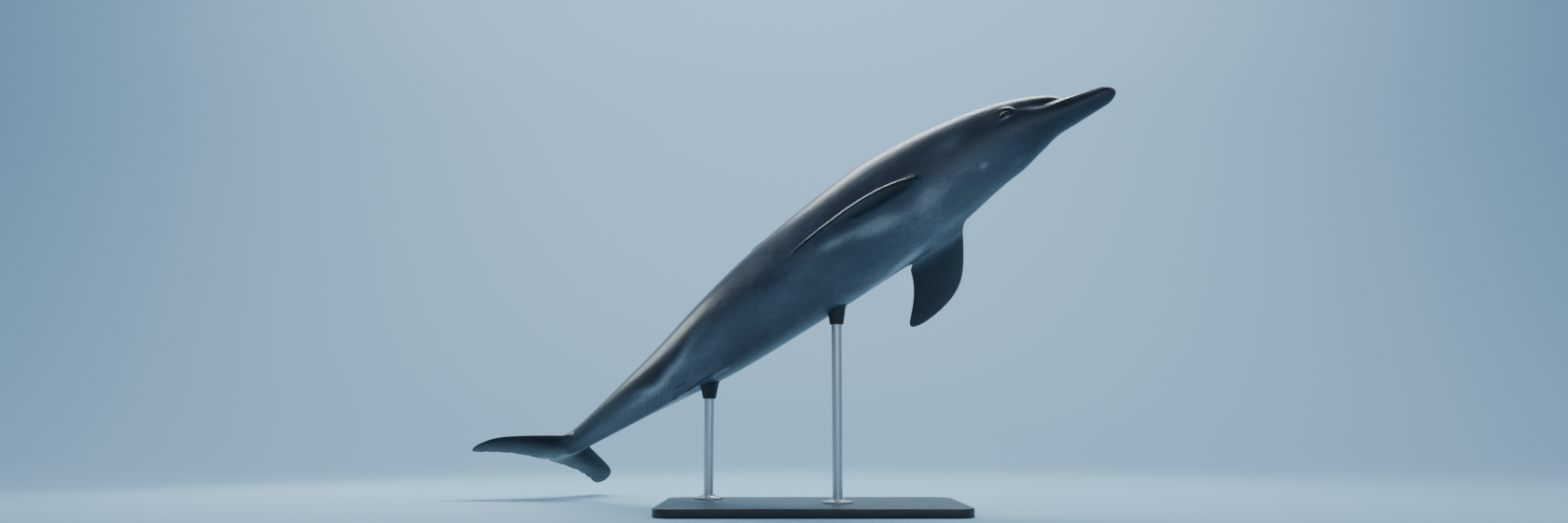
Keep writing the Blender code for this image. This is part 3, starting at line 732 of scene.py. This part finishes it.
def skin_tone(points, angle, fin):
    """How pale the skin is, 0 to 1."""
    x, degrees = points[:, 0], np.degrees(np.abs(angle))
    right = angle > 0
    edge = np.interp(x, *zip(*cape_edge)) + 3.0 * np.sin(x * 17.0) + 2.0 * np.sin(x * 41.0 + 1.0)
    soft = np.interp(x, (0.0, 1.2, 1.5, 1.8, 2.1), (16.0, 11.0, 3.0, 4.0, 14.0))
    cape = np.clip(0.5 + (degrees - edge) / (2 * soft), 0, 1)
    cape = cape * cape * (3 - 2 * cape)
    low = np.interp(x, *zip(*belly_edge)) + 3.0 * np.sin(x * 23.0 + 2.0)
    belly = np.clip(0.5 - (degrees - low) / 26.0, 0, 1)
    belly = belly * belly * (3 - 2 * belly)
    tone = middling + (dark - middling) * cape + (pale - middling) * belly
    # the pale rim that runs along under the dark band of the rear flank
    rim = np.exp(-((degrees - edge + 12.0) / 7.0) ** 2) * ease(x, 1.42, 1.56) * (1 - ease(x, 1.78, 1.95))
    tone += 0.28 * rim
    # the pale patches: pale skin with painted dappled light over it
    for strength, *where in blazes_and_dappled_light:
        tone += strength * patch(x, degrees, *where)
    # a painted highlight over the corner of the mouth where the cheek would catch light from above, a thin
    # painted highlight on the lower lid before and below the eye, and one mark on each cheek
    over_mouth = (np.abs(angle) - mouth_row(x)) * np.hypot(points[:, 1], points[:, 2] - core_height(x))
    # painted highlight: the pale patch over the mouth's corner
    tone += 0.80 * np.exp(-((x - 0.226) / 0.044) ** 2 - ((over_mouth - 0.016) / 0.010) ** 2)
    # painted highlight: the thin pale streak along the lower lid
    tone += 0.95 * patch(x, degrees, 0.321, 60.5, 0.022, 2.8, -40)
    tone += 0.24 * patch(x, degrees, 0.457, 14, 0.018, 5) * right
    tone += 0.14 * patch(x, degrees, 0.356, 16, 0.030, 7) * ~right
    # a darker beak and front of the head, the beak's own dark grey deepened with painted shade that also
    # darkens the pale lower jaw, a dark ring round the eye, and a dark stripe from the eye to the flipper
    tone -= 0.33 * (1 - ease(x, 0.16, 0.52))
    tone -= 0.30 * patch(x, degrees, eye_x, math.degrees(eye_angle), 0.024, 10)
    tone -= 0.14 * patch(x, degrees, 0.45, 62, 0.110, 9, -75)
    # fins and the end of the tail stock are nearly black
    tone = tone * (1 - fin * 0.86) * (1 - 0.45 * ease(x, 2.05, 2.38))
    return np.clip(tone, 0.02, 1.0)


def add_attribute(obj, name, values):
    """Keep a number or a place at every point of a mesh for its material."""
    kind = "FLOAT_VECTOR" if values.ndim == 2 else "FLOAT"
    layer = obj.data.attributes.new(name, kind, "POINT")
    layer.data.foreach_set("vector" if values.ndim == 2 else "value", values.astype(np.float32).ravel())


add_attribute(skin, "straight", straight)
add_attribute(skin, "fin", fin_share)
add_attribute(skin, "tone", skin_tone(straight, around, fin_share))
# painted shade: how deep the skin sinks into grooves, slits and folds, which the material paints darker and
# also makes duller
sunk = -skin_relief(straight[:, 0], around, straight) * (1 - fin_share)
add_attribute(skin, "crease", np.clip(sunk / 0.0028, 0, 1))
skin.data.vertices.foreach_set("co", posed(straight).astype(np.float32).ravel())
skin.data.update()


def finish(obj, material, sharp=None):
    """Give a piece its material and smooth shading, with faces parted where they turn by sharp degrees."""
    obj.data.materials.clear()
    obj.data.materials.append(material)
    obj.data.shade_smooth()
    if sharp is not None:
        obj.data.set_sharp_from_angle(angle=math.radians(sharp))


def new_material(name):
    material = bpy.data.materials.new(name)
    material.use_nodes = True
    return material, material.node_tree, material.node_tree.nodes["Principled BSDF"]


def feed(tree, socket, value):
    """Set a socket, or link another node's output into it."""
    if isinstance(value, bpy.types.NodeSocket):
        tree.links.new(value, socket)
    else:
        socket.default_value = value


def add_node(tree, kind, inputs, output=0, **settings):
    """Add a shader node, set and link its inputs, and give back one of its outputs."""
    node = tree.nodes.new("ShaderNode" + kind)
    for key, value in settings.items():
        setattr(node, key, value)
    for key, value in inputs.items():
        feed(tree, node.inputs[key], value)
    return node.outputs[output]


def maths(tree, operation, first, second=0.0, clamp=False):
    return add_node(tree, "Math", {0: first, 1: second}, operation=operation, use_clamp=clamp)


def mixed(tree, share, first, second):
    return add_node(tree, "Mix", {0: share, 6: first, 7: second}, output=2, data_type="RGBA")


def between(tree, value, start, end, low=0.0, high=1.0):
    """Ease from low to high as the value goes from start to end."""
    return add_node(tree, "MapRange", {"Value": value, "From Min": start, "From Max": end,
                                       "To Min": low, "To Max": high}, interpolation_type="SMOOTHSTEP")


def noise(tree, coords, scale, detail, roughness=0.5):
    return add_node(tree, "TexNoise", {"Vector": coords, "Scale": scale, "Detail": detail,
                                       "Roughness": roughness})


def stretched(tree, coords, scale, turned=(0.0, 0.0, 0.0)):
    return add_node(tree, "Mapping", {"Vector": coords, "Scale": scale, "Rotation": turned})


def colour_ramp(tree, value, stops):
    node = tree.nodes.new("ShaderNodeValToRGB")
    tree.links.new(value, node.inputs["Fac"])
    ramp = node.color_ramp
    for place, colour in stops[1:-1]:
        ramp.elements.new(place).color = (*colour, 1)
    for element, (place, colour) in ((ramp.elements[0], stops[0]), (ramp.elements[-1], stops[-1])):
        element.position, element.color = place, (*colour, 1)
    return node.outputs["Color"]


def bumped(tree, height, distance, strength, normal=None):
    inputs = {"Height": height, "Distance": distance, "Strength": strength}
    if normal is not None:
        inputs["Normal"] = normal
    return add_node(tree, "Bump", inputs)


def start_group(name, inputs, output):
    """Start a node group with named inputs and one output, for an effect that several materials share."""
    group = bpy.data.node_groups.new(name, "ShaderNodeTree")
    for label, kind in inputs.items():
        group.interface.new_socket(label, in_out="INPUT", socket_type="NodeSocket" + kind)
    group.interface.new_socket(output, in_out="OUTPUT", socket_type="NodeSocketFloat")
    given, result = group.nodes.new("NodeGroupInput"), group.nodes.new("NodeGroupOutput")
    return group, given.outputs, result.inputs[output]


# cloudy unevenness drawn out one way, as along a hide, a board's grain or the brushing of steel
drawn_grain, given, result = start_group("drawn_grain", {
    "Coordinates": "Vector", "Stretch": "Vector", "Detail": "Float", "Roughness": "Float"}, "Grain")
feed(drawn_grain, result, noise(drawn_grain, stretched(drawn_grain, given["Coordinates"], given["Stretch"]),
                                1.0, given["Detail"], given["Roughness"]))


def grain_of(tree, coords, stretch_by, detail, roughness=0.5):
    """Place the drawn-out grain in a material with its own values."""
    return add_node(tree, "Group", {"Coordinates": coords, "Stretch": stretch_by, "Detail": detail,
                                    "Roughness": roughness}, node_tree=drawn_grain)


skin_material, tree, shader = new_material("dolphin_skin")
coords = add_node(tree, "Attribute", {}, output="Vector", attribute_name="straight")
tone = add_node(tree, "Attribute", {}, output="Fac", attribute_name="tone")
fin = add_node(tree, "Attribute", {}, output="Fac", attribute_name="fin")
crease = add_node(tree, "Attribute", {}, output="Fac", attribute_name="crease")
# cloudy mottling, coarse and fine, drawn out along the body
cloud = grain_of(tree, coords, (5.0, 9.0, 9.0), 4.0, 0.55)
fleck = grain_of(tree, coords, (60.0, 90.0, 90.0), 3.0, 0.6)
tone = maths(tree, "ADD", tone, between(tree, cloud, 0.25, 0.75, -0.085, 0.085))
tone = maths(tree, "ADD", tone, between(tree, fleck, 0.30, 0.75, -0.035, 0.040))
# groups of fine pale scratches left by other animals' teeth
rakes = None
for turned, place in (((0.0, 0.5, 0.3), 2.3), ((0.0, -0.4, 0.9), 3.1)):
    lines = add_node(tree, "TexWave", {"Vector": stretched(tree, coords, (1, 1, 1), turned), "Scale": 26.0,
                                       "Distortion": 3.2, "Detail": 2.0, "Detail Scale": 0.35},
                     output="Fac", wave_type="BANDS", bands_direction="Z")
    gathered = between(tree, noise(tree, coords, place, 1.0), 0.61, 0.69)
    broken = between(tree, noise(tree, coords, place * 9, 1.0), 0.40, 0.58)
    marks = maths(tree, "MULTIPLY", between(tree, lines, 0.955, 0.995),
                  maths(tree, "MULTIPLY", gathered, broken))
    rakes = marks if rakes is None else maths(tree, "MAXIMUM", rakes, marks)
tone = maths(tree, "ADD", tone, maths(tree, "MULTIPLY", rakes, 0.10))
# small round healed spots, a few of them pale and a few dark
cells = add_node(tree, "TexVoronoi", {"Vector": coords, "Scale": 26.0}).node.outputs
round_spot = between(tree, cells["Distance"], 0.13, 0.05)
chance = add_node(tree, "SeparateColor", {"Color": cells["Color"]})
healed = maths(tree, "ADD", between(tree, chance, 0.90, 0.91, 0.0, 0.14),
               between(tree, chance, 0.09, 0.08, 0.0, -0.10))
tone = maths(tree, "ADD", tone, maths(tree, "MULTIPLY", round_spot, healed), clamp=True)
colour = colour_ramp(tree, tone, (
    (0.00, (0.007, 0.008, 0.011)), (0.12, (0.015, 0.018, 0.025)), (0.40, (0.041, 0.048, 0.063)),
    (0.70, (0.102, 0.115, 0.138)), (1.00, (0.300, 0.318, 0.320)),
))
warm = between(tree, noise(tree, coords, 2.6, 1.0), 0.35, 0.70, 0.0, 0.07)
colour = mixed(tree, warm, colour, (0.060, 0.066, 0.062, 1))
# painted shade: sunken creases, slits and grooves darkened towards near black
colour = mixed(tree, maths(tree, "MULTIPLY", crease, 0.80), colour, (0.008, 0.009, 0.011, 1))
feed(tree, shader.inputs["Base Color"], colour)
# creases, fins and pale skin are duller; the scratches catch a little light
dullness = between(tree, fleck, 0.3, 0.7, 0.30, 0.40)
for mask, change in ((crease, 0.15), (fin, 0.10), (rakes, -0.06)):
    dullness = maths(tree, "ADD", dullness, maths(tree, "MULTIPLY", mask, change))
dullness = maths(tree, "ADD", dullness, between(tree, tone, 0.25, 0.60, 0.0, 0.12))
feed(tree, shader.inputs["Roughness"], dullness)
shader.inputs["Specular IOR Level"].default_value = 0.24
feed(tree, shader.inputs["Coat Weight"], between(tree, fin, 0.0, 1.0, 0.14, 0.03))
shader.inputs["Coat Roughness"].default_value = 0.16
# the skin's own fine cross ridges, pores and slight unevenness
ridges = add_node(tree, "TexWave", {"Vector": coords, "Scale": 170.0, "Distortion": 3.5, "Detail": 2.0,
                                    "Detail Scale": 1.5}, output="Fac", wave_type="BANDS",
                  bands_direction="X")
pores = noise(tree, coords, 620.0, 2.0)
uneven = grain_of(tree, coords, (18.0, 34.0, 34.0), 2.0)
ridges = maths(tree, "MULTIPLY", ridges, maths(tree, "SUBTRACT", 1.0, fin))
normal = bumped(tree, uneven, 0.0022, 0.55)
normal = bumped(tree, ridges, 0.00008, 0.35, normal)
normal = bumped(tree, pores, 0.0003, 0.5, normal)
normal = bumped(tree, rakes, -0.0005, 0.7, normal)
feed(tree, shader.inputs["Normal"], normal)

finish(skin, skin_material)
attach(skin, "root")
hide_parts("head", "lower_jaw", "neck", "chest", "belly", "tail_stock", "dorsal_fin",
            "flipper_left", "flipper_right", "fluke_left", "fluke_right")


# ---- Eyes
# Two glass balls, painted from behind: a dark brown iris round a wide, drooping pupil, in a dusky
# white that hardly shows. They sit in the sockets and the lids overlap them.
# Sizes on the eye are shares of its radius.
iris_size, pupil_size, pupil_long, pupil_high, cornea_bulge = 0.64, 0.36, 1.20, 0.80, 0.035


def make_eye(name, side):
    """A glass ball with a slight bulge in front, set looking out of its socket."""
    sheet = bmesh.new()
    bmesh.ops.create_uvsphere(sheet, u_segments=72, v_segments=48, radius=1.0)
    local = np.array([tuple(vert.co) for vert in sheet.verts])
    middle, out, tailward, up = eye_frame(side)
    bulge = 1 + cornea_bulge * ease(local[:, 2], 0.72, 0.95)
    points = middle + (local @ np.array((-tailward, up, out))) * (eye_radius * bulge)[:, None]
    place_verts(sheet, posed(points))
    face_outwards(sheet)
    eye = as_object(name, sheet)
    add_attribute(eye, "gaze", local)
    return eye


eye_material, tree, shader = new_material("dolphin_eye")
gaze = add_node(tree, "Attribute", {}, output="Vector", attribute_name="gaze")
across, height, _ = add_node(tree, "SeparateXYZ", {0: gaze}).node.outputs


def from_middle(across, height):
    """Distance of a place on the eye's front from its middle."""
    return add_node(tree, "VectorMath", {0: add_node(tree, "CombineXYZ", {"X": across, "Y": height})},
                    output="Value", operation="LENGTH")


ring = from_middle(across, height)
# the pupil is a wide oval whose upper edge droops in the middle
droop = maths(tree, "MULTIPLY", between(tree, maths(tree, "ABSOLUTE", across), 0.24, 0.02), 0.09)
droop = maths(tree, "MULTIPLY", droop, maths(tree, "GREATER_THAN", height, 0.0))
oval = from_middle(maths(tree, "DIVIDE", across, pupil_long),
                   maths(tree, "DIVIDE", maths(tree, "ADD", height, droop), pupil_high))
streaks = noise(tree, add_node(tree, "CombineXYZ", {
    "X": maths(tree, "MULTIPLY", maths(tree, "ARCTAN2", height, across), 9.0),
    "Y": maths(tree, "MULTIPLY", ring, 3.0)}), 1.6, 3.0)
iris = colour_ramp(tree, streaks, ((0.25, (0.006, 0.004, 0.003)), (0.55, (0.018, 0.010, 0.006)),
                                   (0.80, (0.042, 0.024, 0.014))))
veins = between(tree, grain_of(tree, gaze, (7.0, 14.0, 7.0), 5.0, 0.7), 0.45, 0.75)
white = mixed(tree, veins, (0.030, 0.027, 0.026, 1), (0.024, 0.010, 0.009, 1))
colour = mixed(tree, between(tree, ring, iris_size + 0.05, iris_size - 0.05), white, iris)
limbus = maths(tree, "MULTIPLY", between(tree, ring, iris_size - 0.12, iris_size),
               between(tree, ring, iris_size + 0.08, iris_size))
colour = mixed(tree, limbus, colour, (0.006, 0.005, 0.005, 1))
pupil = between(tree, oval, pupil_size + 0.02, pupil_size - 0.02)
colour = mixed(tree, pupil, colour, (0.002, 0.003, 0.005, 1))
feed(tree, shader.inputs["Base Color"], colour)
shader.inputs["Roughness"].default_value = 0.22
shader.inputs["Specular IOR Level"].default_value = 0.1
shader.inputs["Coat Weight"].default_value = 0.9
shader.inputs["Coat Roughness"].default_value = 0.03
feed(tree, shader.inputs["Normal"], bumped(tree, veins, 0.0002, 0.3))
for name, side in (("right", 1), ("left", -1)):
    eye = make_eye("glass_eye_" + name, side)
    finish(eye, eye_material)
    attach(eye, "root")
    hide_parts("eye_" + name)


# ---- Base board
# A thick board with rounded corners and a softened rim, sprayed with matt black paint that lets a
# trace of the grain through and has worn a little along the rim.
base_size, base_corner, rim_round, underside_round = (0.960, 0.600, 0.028), 0.060, 0.0045, 0.0012


def round_off(sheet, edges, radius, segments):
    bmesh.ops.bevel(sheet, geom=edges, offset=radius, segments=segments, profile=0.5, affect="EDGES",
                    material=-1)


board_sheet = bmesh.new()
bmesh.ops.create_cube(board_sheet, size=1.0)
bmesh.ops.scale(board_sheet, vec=base_size, verts=board_sheet.verts)
bmesh.ops.translate(board_sheet, vec=(0, 0, base_size[2] / 2), verts=board_sheet.verts)
uprights = [e for e in board_sheet.edges if abs(e.verts[0].co.z - e.verts[1].co.z) > 0.001]
round_off(board_sheet, uprights, base_corner, 14)
rims = [e for e in board_sheet.edges if min(v.co.z for v in e.verts) > base_size[2] - 0.001]
round_off(board_sheet, rims, rim_round, 5)
underside = [e for e in board_sheet.edges if max(v.co.z for v in e.verts) < 0.001 and e.is_manifold
             and abs(e.calc_face_angle()) > 1.0]
round_off(board_sheet, underside, underside_round, 2)
board = as_object("base_board", board_sheet)

# a film that lies in patches, such as dust on paint, finger marks on steel or bloom on rubber
patchy_film, given, result = start_group("patchy_film", {
    "Coordinates": "Vector", "Patches": "Float", "Detail": "Float", "Roughness": "Float", "Bare": "Float",
    "Covered": "Float"}, "Film")
feed(patchy_film, result, between(patchy_film, noise(
    patchy_film, given["Coordinates"], given["Patches"], given["Detail"], given["Roughness"]),
    given["Bare"], given["Covered"]))


def film_of(tree, coords, patches, detail, roughness, bare, covered):
    """Place the patchy film in a material with its own values."""
    return add_node(tree, "Group", {"Coordinates": coords, "Patches": patches, "Detail": detail,
                                    "Roughness": roughness, "Bare": bare, "Covered": covered},
                    node_tree=patchy_film)


board_material, tree, shader = new_material("base_paint")
coords = add_node(tree, "TexCoord", {}, output="Object")
grain = grain_of(tree, coords, (3.0, 70.0, 70.0), 4.0, 0.6)
orange_peel = noise(tree, coords, 420.0, 1.0)
dust = film_of(tree, coords, 7.0, 5.0, 0.6, 0.45, 0.80)
colour = colour_ramp(tree, grain, ((0.30, (0.013, 0.014, 0.015)), (0.70, (0.021, 0.022, 0.024))))
colour = mixed(tree, maths(tree, "MULTIPLY", dust, 0.25), colour, (0.060, 0.062, 0.064, 1))
rim_wear = add_node(tree, "NewGeometry", {}, output="Pointiness")
worn = maths(tree, "MULTIPLY", between(tree, rim_wear, 0.53, 0.60),
             between(tree, noise(tree, coords, 60.0, 3.0), 0.50, 0.68))
colour = mixed(tree, maths(tree, "MULTIPLY", worn, 0.5), colour, (0.12, 0.095, 0.07, 1))
feed(tree, shader.inputs["Base Color"], colour)
feed(tree, shader.inputs["Roughness"], between(tree, dust, 0.0, 1.0, 0.42, 0.60))
normal = bumped(tree, grain, 0.0004, 0.35)
feed(tree, shader.inputs["Normal"], bumped(tree, orange_peel, 0.0002, 0.4, normal))
finish(board, board_material, 35)
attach(board, "root")
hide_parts("stand_base")


# ---- Rods and feet
# Two upright steel tubes, brushed round their length, each standing in a turned foot that is held to
# the board by three cap screws. Sizes are in metres; a station is a place from the nose.
rod_radius, rod_stations, rod_edge = 0.016, {"front": 1.000, "rear": 1.560}, 0.0006
rod_in_foot, rod_in_collar, fit_gap = 0.0018, 0.004, 0.0003
foot_height, flange_height, hub_floor = 0.0140, 0.0062, 0.0120
screw_circle, screw_angles = 0.0365, (0.5, 2.6, 4.7)
# outlines from the axis outward and round: radius, height
foot_outline = ((0.0, 0.0), (0.0472, 0.0), (0.0480, 0.0008), (0.0480, 0.0046), (0.0470, 0.0058),
                (0.0455, flange_height), (0.0300, flange_height), (0.0262, 0.0070), (0.0240, 0.0092),
                (0.0236, 0.0128), (0.0228, 0.0138), (0.0214, foot_height), (0.0166, foot_height),
                (0.0163, hub_floor), (0.0, hub_floor))
screw_outline = ((0.0, 0.0), (0.0042, 0.0), (0.0042, 0.0026), (0.0036, 0.0032), (0.0024, 0.0032),
                 (0.0023, 0.0012), (0.0, 0.0010))


def turn_profile(sheet, profile, steps, offset=(0.0, 0.0, 0.0)):
    """Spin an outline of (radius, height) pairs round an upright axis and carry it to its place."""
    earlier = set(sheet.verts)
    verts = [sheet.verts.new((radius, 0.0, height)) for radius, height in profile]
    edges = [sheet.edges.new(pair) for pair in zip(verts, verts[1:])]
    bmesh.ops.spin(sheet, geom=verts + edges, cent=(0, 0, 0), axis=(0, 0, 1), steps=steps,
                   angle=2 * math.pi, use_merge=True)
    bmesh.ops.remove_doubles(sheet, verts=[vert for vert in sheet.verts if vert not in earlier],
                             dist=0.000002)
    bmesh.ops.translate(sheet, vec=offset, verts=[vert for vert in sheet.verts if vert not in earlier])


steel_material, tree, shader = new_material("brushed_steel")
coords = add_node(tree, "TexCoord", {}, output="Object")
brushing = grain_of(tree, coords, (120.0, 120.0, 1400.0), 3.0, 0.6)
smudge = film_of(tree, coords, 16.0, 3.0, 0.5, 0.4, 0.7)
feed(tree, shader.inputs["Base Color"], mixed(tree, brushing, (0.46, 0.47, 0.49, 1), (0.62, 0.63, 0.64, 1)))
shader.inputs["Metallic"].default_value = 1.0
feed(tree, shader.inputs["Roughness"], maths(tree, "ADD", between(tree, brushing, 0.3, 0.7, 0.24, 0.34),
                                             maths(tree, "MULTIPLY", smudge, 0.10)))
feed(tree, shader.inputs["Normal"], bumped(tree, brushing, 0.00006, 0.5))

# where each rod meets the middle of the body, and the height of its collar's lower end
stand_places = {name: (*posed(core_point(station)[None])[0].tolist(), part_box(f"stand_collar_{name}")[0].z)
                for name, station in rod_stations.items()}
for name, (x, y, _, collar_low) in stand_places.items():
    low = base_size[2] + fit_gap
    foot_sheet = bmesh.new()
    turn_profile(foot_sheet, foot_outline, steps=96, offset=(x, y, low))
    for angle in screw_angles:
        place = (x + screw_circle * math.cos(angle), y + screw_circle * math.sin(angle), low + flange_height)
        turn_profile(foot_sheet, screw_outline, steps=24, offset=place)
    face_outwards(foot_sheet)
    foot = as_object(f"turned_foot_{name}", foot_sheet)
    rod_sheet = bmesh.new()
    bottom, top = low + foot_height - rod_in_foot, collar_low + rod_in_collar
    rod_outline = ((0.0, bottom), (rod_radius - rod_edge, bottom), (rod_radius, bottom + rod_edge),
                   (rod_radius, top - rod_edge), (rod_radius - rod_edge, top), (0.0, top))
    turn_profile(rod_sheet, rod_outline, steps=64, offset=(x, y, 0.0))
    face_outwards(rod_sheet)
    rod = as_object(f"steel_rod_{name}", rod_sheet)
    for piece, node in ((foot, "stand_foot_"), (rod, "stand_rod_")):
        finish(piece, steel_material, 35)
        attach(piece, "root")
        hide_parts(node + name)


# ---- Collars
# Moulded black rubber cups between rod and animal. Each widens upward and its top is shaped to the
# curve of the skin it carries, with a soft lip round the rim.
collar_low_radius, collar_high_radius, collar_depth = 0.022, 0.057, 0.034
collar_walls, collar_caps, collar_sides, lip_height, lip_width = 16, 6, 72, 0.0016, 0.09

rubber_material, tree, shader = new_material("black_rubber")
coords = add_node(tree, "TexCoord", {}, output="Object")
pits = noise(tree, coords, 260.0, 3.0, 0.6)
bloom = film_of(tree, coords, 30.0, 4.0, 0.6, 0.45, 0.75)
colour = mixed(tree, bloom, (0.012, 0.012, 0.013, 1), (0.030, 0.030, 0.032, 1))
feed(tree, shader.inputs["Base Color"], colour)
feed(tree, shader.inputs["Roughness"], between(tree, bloom, 0.0, 1.0, 0.52, 0.70))
feed(tree, shader.inputs["Normal"], bumped(tree, pits, 0.0003, 0.5))

skin_tree = solid_tree(skin)


def skin_height(x, y):
    """Height of the skin's underside above a point of the board, just short of touching."""
    hit = skin_tree.ray_cast(Vector((x, y, base_size[2])), Vector((0, 0, 1)))[0]
    return hit.z - fit_gap


for name, (x, y, body_middle, low) in stand_places.items():
    widening = (collar_high_radius - collar_low_radius) / (body_middle - low)
    collar_sheet = bmesh.new()
    # a plain cup of radius 1: level -1 is the lower middle, 0 to 1 the wall and 2 the top
    profile = ([(0.0, -1.0)] + [(1.0, i / collar_walls) for i in range(collar_walls + 1)]
               + [(1.0 - i / collar_caps, 2.0) for i in range(1, collar_caps + 1)])
    turn_profile(collar_sheet, profile, steps=collar_sides)
    for vert in collar_sheet.verts:
        reach, level = math.hypot(vert.co.x, vert.co.y), vert.co.z
        if level < 0:
            vert.co = (x, y, low)
            continue
        if reach < 1e-5:
            vert.co = (x, y, skin_height(x, y))
            continue
        way = (vert.co.x / reach, vert.co.y / reach)
        top = low + collar_depth
        for _ in range(5):
            rim = collar_low_radius + widening * (top - low)
            top = skin_height(x + way[0] * rim, y + way[1] * rim)
        if level > 1.5:
            spot = (x + way[0] * rim * reach, y + way[1] * rim * reach)
            vert.co = (*spot, skin_height(*spot))
        else:
            z = low + (top - low) * level
            wide = collar_low_radius + widening * (z - low) + bell(1 - level, lip_height, lip_width)
            vert.co = (x + way[0] * wide, y + way[1] * wide, z)
    face_outwards(collar_sheet)
    collar = as_object(f"rubber_collar_{name}", collar_sheet)
    finish(collar, rubber_material, 50)
    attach(collar, "root")
    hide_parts(f"stand_collar_{name}")


# ---- Studio
# A pale floor that sweeps up into a backdrop, a big soft light overhead and behind, and a weak fill
# in front. The camera looks up at the animal from just above the floor.
floor_half_width, floor_front, floor_back, sweep_radius, backdrop_top = 16.0, -9.0, 5.0, 4.0, 9.0
sweep_sheet = bmesh.new()
sweep_side = [sweep_sheet.verts.new((-floor_half_width, y, z)) for y, z in (
    [(floor_front, 0.0), (-2.0, 0.0), (floor_back, 0.0)]
    + [(floor_back + sweep_radius * math.sin(a), sweep_radius - sweep_radius * math.cos(a))
       for a in np.linspace(0.1, math.pi / 2, 14)]
    + [(floor_back + sweep_radius, backdrop_top)])]
sweep_edges = [sweep_sheet.edges.new(pair) for pair in zip(sweep_side, sweep_side[1:])]
pulled = bmesh.ops.extrude_edge_only(sweep_sheet, edges=sweep_edges)
bmesh.ops.translate(sweep_sheet, vec=(2 * floor_half_width, 0, 0),
                    verts=[item for item in pulled["geom"] if isinstance(item, bmesh.types.BMVert)])
face_outwards(sweep_sheet)
sweep = as_object("studio_sweep", sweep_sheet)
sweep_material, tree, shader = new_material("studio_sweep")
shader.inputs["Base Color"].default_value = (0.31, 0.50, 0.65, 1)
shader.inputs["Roughness"].default_value = 0.85
finish(sweep, sweep_material)

world = bpy.data.worlds.new("studio")
world.use_nodes = True
background = world.node_tree.nodes["Background"]
background.inputs["Color"].default_value = (0.55, 0.76, 1.0, 1)
background.inputs["Strength"].default_value = 0.54
bpy.context.scene.world = world


def soft_light(name, place, target, size, power, colour):
    """A soft box of light that shines at a target and isn't seen itself."""
    lamp = bpy.data.lights.new(name, "AREA")
    lamp.shape = "RECTANGLE"
    lamp.size, lamp.size_y = size
    lamp.energy = power
    lamp.color = colour
    obj = bpy.data.objects.new(name, lamp)
    obj.location = place
    obj.rotation_euler = (Vector(target) - Vector(place)).to_track_quat("-Z", "Y").to_euler()
    obj.visible_camera = False
    bpy.context.scene.collection.objects.link(obj)


soft_light("overhead", (0.3, 1.7, 3.3), (0.1, 0.1, 0.8), (4.2, 1.2), 190, (0.84, 0.96, 1.0))
soft_light("backdrop_wash", (0.0, 4.5, 6.5), (0.0, 9.0, 2.5), (12.0, 1.5), 560, (0.95, 0.98, 1.0))
soft_light("tail_rim", (-2.4, 1.5, 1.5), (-0.8, 0.1, 0.6), (1.2, 0.8), 22, (0.84, 1.0, 0.98))
soft_light("front_fill", (1.0, -4.4, 1.5), (0.2, 0.0, 0.8), (4.6, 2.4), 30, (0.76, 0.88, 1.0))

camera = bpy.data.cameras.new("camera")
camera.lens = 27.0
camera.sensor_width = 36.0
camera_object = bpy.data.objects.new("camera", camera)
camera_object.location = (-0.087, -3.81, 0.266)
camera_object.rotation_euler = (math.radians(98.0), 0.0, 0.0)
bpy.context.scene.collection.objects.link(camera_object)
bpy.context.scene.camera = camera_object
